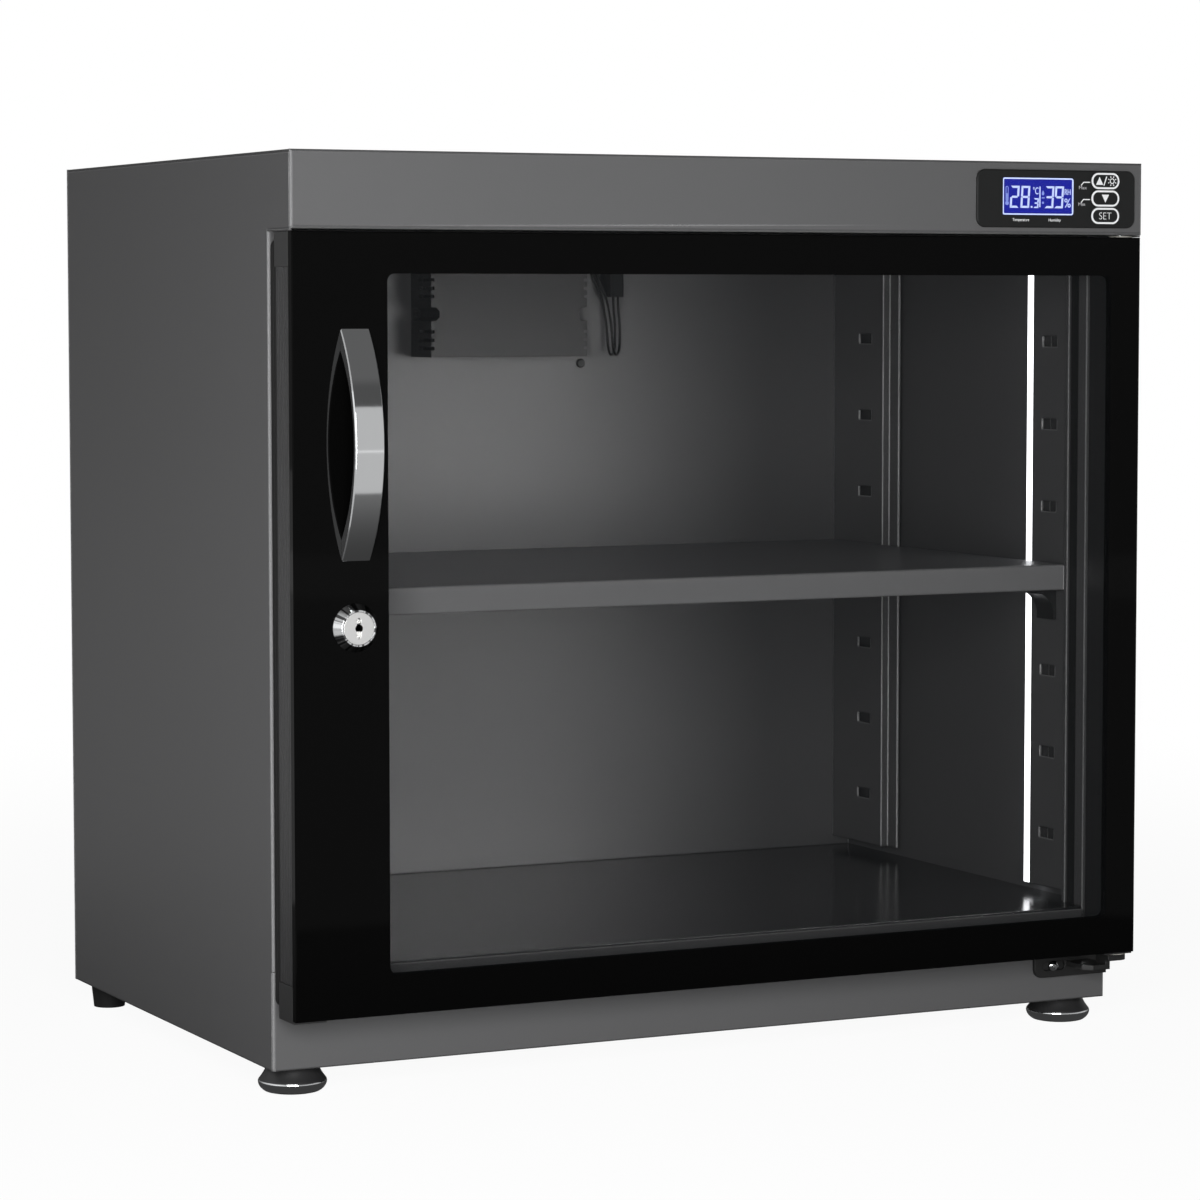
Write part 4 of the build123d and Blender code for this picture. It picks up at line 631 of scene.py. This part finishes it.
def crossHeadTree():
    made = Geometry("crossHeadScrews")
    radius = made.size("Head Radius", 0.003)
    height = made.size("Head Height", 0.0016)
    shank = made.size("Shank Radius", 0.0014)
    length = made.size("Shank Length", 0.006)
    slotWide = made.size("Recess Width", 0.0008)
    slotLong = made.size("Recess Length", 0.0032)
    turn = made.size("Turn", (0.0, 0.0, 0.0), "NodeSocketVector")
    material = made.size("Finish", None, "NodeSocketMaterial")
    # dome: a ball cut by a disc of the head's radius
    ballRadius = made.maths("DIVIDE", made.maths("ADD", made.maths("MULTIPLY", radius, radius),
                                                 made.maths("MULTIPLY", height, height)),
                            made.maths("MULTIPLY", height, 2.0))
    ball = made.node("GeometryNodeMeshUVSphere", None, {"Segments": 48, "Rings": 64, "Radius": ballRadius})
    ball = made.moved(ball, made.vector(z=made.maths("SUBTRACT", height, ballRadius)))
    disc = made.node("GeometryNodeMeshCylinder", None,
                     {"Vertices": 48, "Radius": made.maths("MULTIPLY", radius, 0.985), "Depth": height})
    disc = made.moved(disc, made.vector(z=made.maths("MULTIPLY", height, 0.5)))
    head = made.node("GeometryNodeMeshBoolean", {"operation": "INTERSECT"}, {"Mesh": [ball, disc]})
    deep = made.maths("MULTIPLY", height, 1.1)
    bars = []
    for wide, long in ((slotWide, slotLong), (slotLong, slotWide)):
        bar = made.node("GeometryNodeMeshCube", None, {"Size": made.vector(wide, long, deep)})
        bars.append(made.moved(bar, made.vector(z=height)))
    head = made.node("GeometryNodeMeshBoolean", {"operation": "DIFFERENCE"}, {"Mesh 1": head, "Mesh 2": bars})
    stem = made.node("GeometryNodeMeshCylinder", None, {"Vertices": 24, "Radius": shank, "Depth": length})
    stem = made.moved(stem, made.vector(z=made.maths("MULTIPLY", length, -0.5)))
    screw = made.node("GeometryNodeJoinGeometry", None, {"Geometry": [head, stem]})
    places = made.node("GeometryNodeInstanceOnPoints", None,
                       {"Points": made.start.outputs["Geometry"], "Instance": screw, "Rotation": turn})
    whole = made.node("GeometryNodeRealizeInstances", None, {"Geometry": places})
    painted = made.node("GeometryNodeSetMaterial", None, {"Geometry": whole, "Material": material})
    return made.done(painted)


def scattered(name, made, points, sizes, body, replaced):
    # evaluates the tree on a list of points and keeps the result as a plain mesh
    seeds = bpy.data.meshes.new(name + "Points")
    seeds.from_pydata(points, [], [])
    holder = bpy.data.objects.new(name + "Points", seeds)
    bpy.context.scene.collection.objects.link(holder)
    modifier = holder.modifiers.new("screws", "NODES")
    modifier.node_group = made.tree
    for size, value in sizes.items():
        modifier[made.sizes[size]] = value
    holder.update_tag()
    bpy.context.view_layer.update()
    graph = bpy.context.evaluated_depsgraph_get()
    mesh = bpy.data.meshes.new_from_object(holder.evaluated_get(graph))
    mesh.name = name
    holder.modifiers.clear()
    bpy.data.objects.remove(holder)
    result = bpy.data.objects.new(name, mesh)
    bpy.context.scene.collection.objects.link(result)
    rideOn(result, body)
    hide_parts(*replaced)
    print(name, "faces", len(mesh.polygons))
    return result


def extents(node, apart=0.012):
    # lowest and highest corner of each of a node's solids, which stand further apart than they are wide
    groups = []
    for vertex in nodes[node].data.vertices:
        for group in groups:
            if (Vector((vertex.co.x, vertex.co.z)) - group[0]).length < apart:
                group[1].append(vertex.co.copy())
                break
        else:
            groups.append((Vector((vertex.co.x, vertex.co.z)), [vertex.co.copy()]))
    found = []
    for _, points in groups:
        lowest = [min(p[k] for p in points) for k in range(3)]
        highest = [max(p[k] for p in points) for k in range(3)]
        found.append((lowest, highest))
    return found


crossHead = crossHeadTree()
screwSets = {
    "hingeScrewHeads": {"node": "hinge_screws", "side": -1, "radius": 0.0026, "height": 0.0013, "seat": 0.0013,
                        "shank": 0.0016, "length": 0.0062, "finish": "chrome"},
    "rearScrewHeads": {"node": "rear_cover_screws", "side": 1, "radius": 0.0032, "height": 0.0018,
                       "seat": 0.0018, "shank": 0.0014, "length": 0.0058, "finish": "zinc_steel"},
    "coverScrewHeads": {"node": "dehumidifier_screws", "side": -1, "radius": 0.0023, "height": 0.0016,
                        "seat": 0.0016, "shank": 0.0013, "length": 0.0058, "finish": "black_plastic"},
}
for name, kind in screwSets.items():
    points = []
    for lowest, highest in extents(kind["node"]):
        seat = highest[1] - kind["seat"] if kind["side"] > 0 else lowest[1] + kind["seat"]
        points.append(((lowest[0] + highest[0]) / 2, seat, (lowest[2] + highest[2]) / 2))
    sizes = {"Head Radius": kind["radius"], "Head Height": kind["height"], "Shank Radius": kind["shank"],
             "Shank Length": kind["length"], "Recess Width": kind["radius"] * 0.28,
             "Recess Length": kind["radius"] * 1.15, "Turn": (-kind["side"] * pi / 2, 0.0, 0.0),
             "Finish": finishes[kind["finish"]]}
    scattered(name, crossHead, points, sizes, "cabinet", [kind["node"]])

# heater lead: two limp wires that loop from the cover's top down and up into the plug
lead = {"right": 0.0453, "wall": 0.1333, "low": 0.3201, "diameter": 0.0015, "length": 0.0977,
        "starts": ((0.0, 0.0), (0.0016, 0.0022)),
        "route": [(-4.1, -15.6, 43.0), (-4.1, -15.6, 46.0), (-2.2, -15.6, 48.8), (1.1, -15.6, 49.8),
                  (4.1, -15.6, 47.8), (7.0, -15.6, 42.6), (10.3, -15.6, 35.7), (13.3, -15.6, 28.5),
                  (15.1, -15.6, 20.3), (16.2, -15.6, 11.7), (16.7, -15.6, 3.7), (18.8, -13.5, 0.7),
                  (21.8, -10.7, 0.7), (23.9, -8.6, 3.7), (24.2, -8.6, 10.9), (23.9, -8.6, 17.9),
                  (23.1, -8.6, 24.5), (23.1, -8.6, 30.1)]}
for number, (aside, ahead) in enumerate(lead["starts"], start=1):
    route = [(lead["right"] + x / 1000 + aside, lead["wall"] + y / 1000 - ahead, lead["low"] + z / 1000)
             for x, y, z in lead["route"]]
    curve = bpy.data.curves.new(f"leadWire{number}", "CURVE")
    curve.dimensions = "3D"
    curve.bevel_depth = lead["diameter"] / 2
    curve.bevel_resolution = 4
    curve.use_fill_caps = True
    curve.resolution_u = 8
    spline = curve.splines.new("NURBS")
    spline.points.add(len(route) - 1)
    for point, place in zip(spline.points, route):
        point.co = (*place, 1.0)
    spline.order_u = 3
    spline.use_endpoint_u = True
    curve.materials.append(finishes["lead_sheath"])
    wire = bpy.data.objects.new(f"leadWire{number}", curve)
    bpy.context.scene.collection.objects.link(wire)
    rideOn(wire, "cabinet")
    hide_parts(f"heater_lead_{number}")
print("leads done")

# world: pale for the eye, and for what shines a plain studio with light at eye level, dark above
world = bpy.data.worlds.new("studio")
bpy.context.scene.world = world
studio = {"ambient": 0.15, "level": 0.55, "above": 0.085, "edge": 0.33, "behind": 0.22, "left": 0.45,
          "line": 0.85, "near": 0.05, "shade": 0.60}
shader = Shader(world)
direction = shader.node("TexCoord", None, None, "Generated")
high = shader.node("SeparateXYZ", None, {0: direction}, "Z")
deep = shader.node("SeparateXYZ", None, {0: direction}, "Y")
side = shader.node("SeparateXYZ", None, {0: direction}, "X")
raised = high.ramp(studio["edge"], studio["edge"] + 0.015)
front = 1.0 - deep.ramp(-0.1, 0.35)
glossy = (1.0 - raised) * studio["level"] * front + raised * (high.ramp(0.5, 0.6) * 0.04 + studio["above"])
glossy = glossy + (1.0 - front) * studio["behind"] + (-1.0 * side).ramp(0.35, 0.9) * studio["left"]
path = "LightPath"
seen = shader.node(path, None, None, "Is Camera Ray").most(shader.node(path, None, None, "Is Transmission Ray"))
shine = shader.node(path, None, None, "Is Glossy Ray")
strength = seen + (1.0 - seen) * (shine * glossy + (1.0 - shine) * studio["ambient"])
surface = shader.node("Background", None, {"Color": grey(1.0), "Strength": strength})
shader.node("OutputWorld", None, {"Surface": surface})

# floor: pale, with the cabinet's soft shadow; what shines sees it dark close by and light further off
stageFloor = {"half": 6.0, "colour": 0.86, "lit": 0.94, "litFar": 1.0}
shader = Shader(bpy.data.materials.new("paleFloor"))
away = shader.node("VectorMath", {"operation": "LENGTH"}, {0: shader.place()}, "Value")
seen = shader.node(path, None, None, "Is Camera Ray").most(shader.node(path, None, None, "Is Transmission Ray"))
shine = shader.node(path, None, None, "Is Glossy Ray")
white = shader.node("Emission", None, {"Color": grey(1.0), "Strength": 1.0})
plain = shader.node("BsdfDiffuse", None, {"Color": grey(stageFloor["colour"]), "Roughness": 0.4})
share = (away.ramp(0.35, 1.4) * (stageFloor["litFar"] - stageFloor["lit"]) + stageFloor["lit"]) * seen
surface = shader.node("MixShader", None, {0: share, 1: plain, 2: white})
line = away.ramp(3.0, 3.1) * (1.0 - away.ramp(3.8, 3.9)) * (studio["line"] - studio["level"])
mirrored = away.ramp(studio["shade"] - 0.02, studio["shade"] + 0.02) * (studio["level"] - 0.16)
mirrored = mirrored + away.ramp(0.2, studio["shade"]) * 0.11 + studio["near"] + line
mirrored = shader.mixed(mirrored, grey(0.0), grey(1.0))
reflected = shader.node("Emission", None, {"Color": mirrored, "Strength": 1.0})
surface = shader.node("MixShader", None, {0: shine, 1: surface, 2: reflected})
shader.node("OutputMaterial", None, {"Surface": surface})
half = stageFloor["half"]
mesh = bpy.data.meshes.new("floor")
mesh.from_pydata([(-half, -half, 0), (half, -half, 0), (half, half, 0), (-half, half, 0)], [], [(0, 1, 2, 3)])
mesh.materials.append(shader.owner)
stageObject = bpy.data.objects.new("floor", mesh)
bpy.context.scene.collection.objects.link(stageObject)

# lamps: one for the case, one for the tray's edge behind the glass, and a broad one for the chamber
chamber = bpy.data.collections.new("chamber")
for name in ("back_wall", "ceiling_panel", "floor_pan", "front_posts", "rear_posts", "shelf_clips",
             "dehumidifier_cover", "dehumidifier_base", "vent_duct", "led_channel", "humidity_sensor"):
    chamber.objects.link(nodes[name])
tray = bpy.data.collections.new("tray")
tray.objects.link(nodes["shelf"])
leftFront = {"place": (-0.58, -1.12, 0.26), "aim": (0.0, -0.14, 0.21), "size": 0.7}
lamps = {"key": {**leftFront, "watts": 16.0, "lit": None},
         "lip": {**leftFront, "watts": 36.0, "lit": tray},
         "inner": {"place": (0.85, -1.35, 0.22), "aim": (-0.1, 0.13, 0.20), "size": 1.1, "watts": 60.0,
                   "lit": chamber}}
for name, lamp in lamps.items():
    light = bpy.data.lights.new(name, "AREA")
    light.shape = "SQUARE"
    light.size = lamp["size"]
    light.energy = lamp["watts"]
    made = bpy.data.objects.new(name, light)
    made.location = lamp["place"]
    made.rotation_euler = (Vector(lamp["aim"]) - Vector(lamp["place"])).to_track_quat("-Z", "Y").to_euler()
    if lamp["lit"]:
        made.light_linking.receiver_collection = lamp["lit"]
    bpy.context.scene.collection.objects.link(made)
print("studio done")
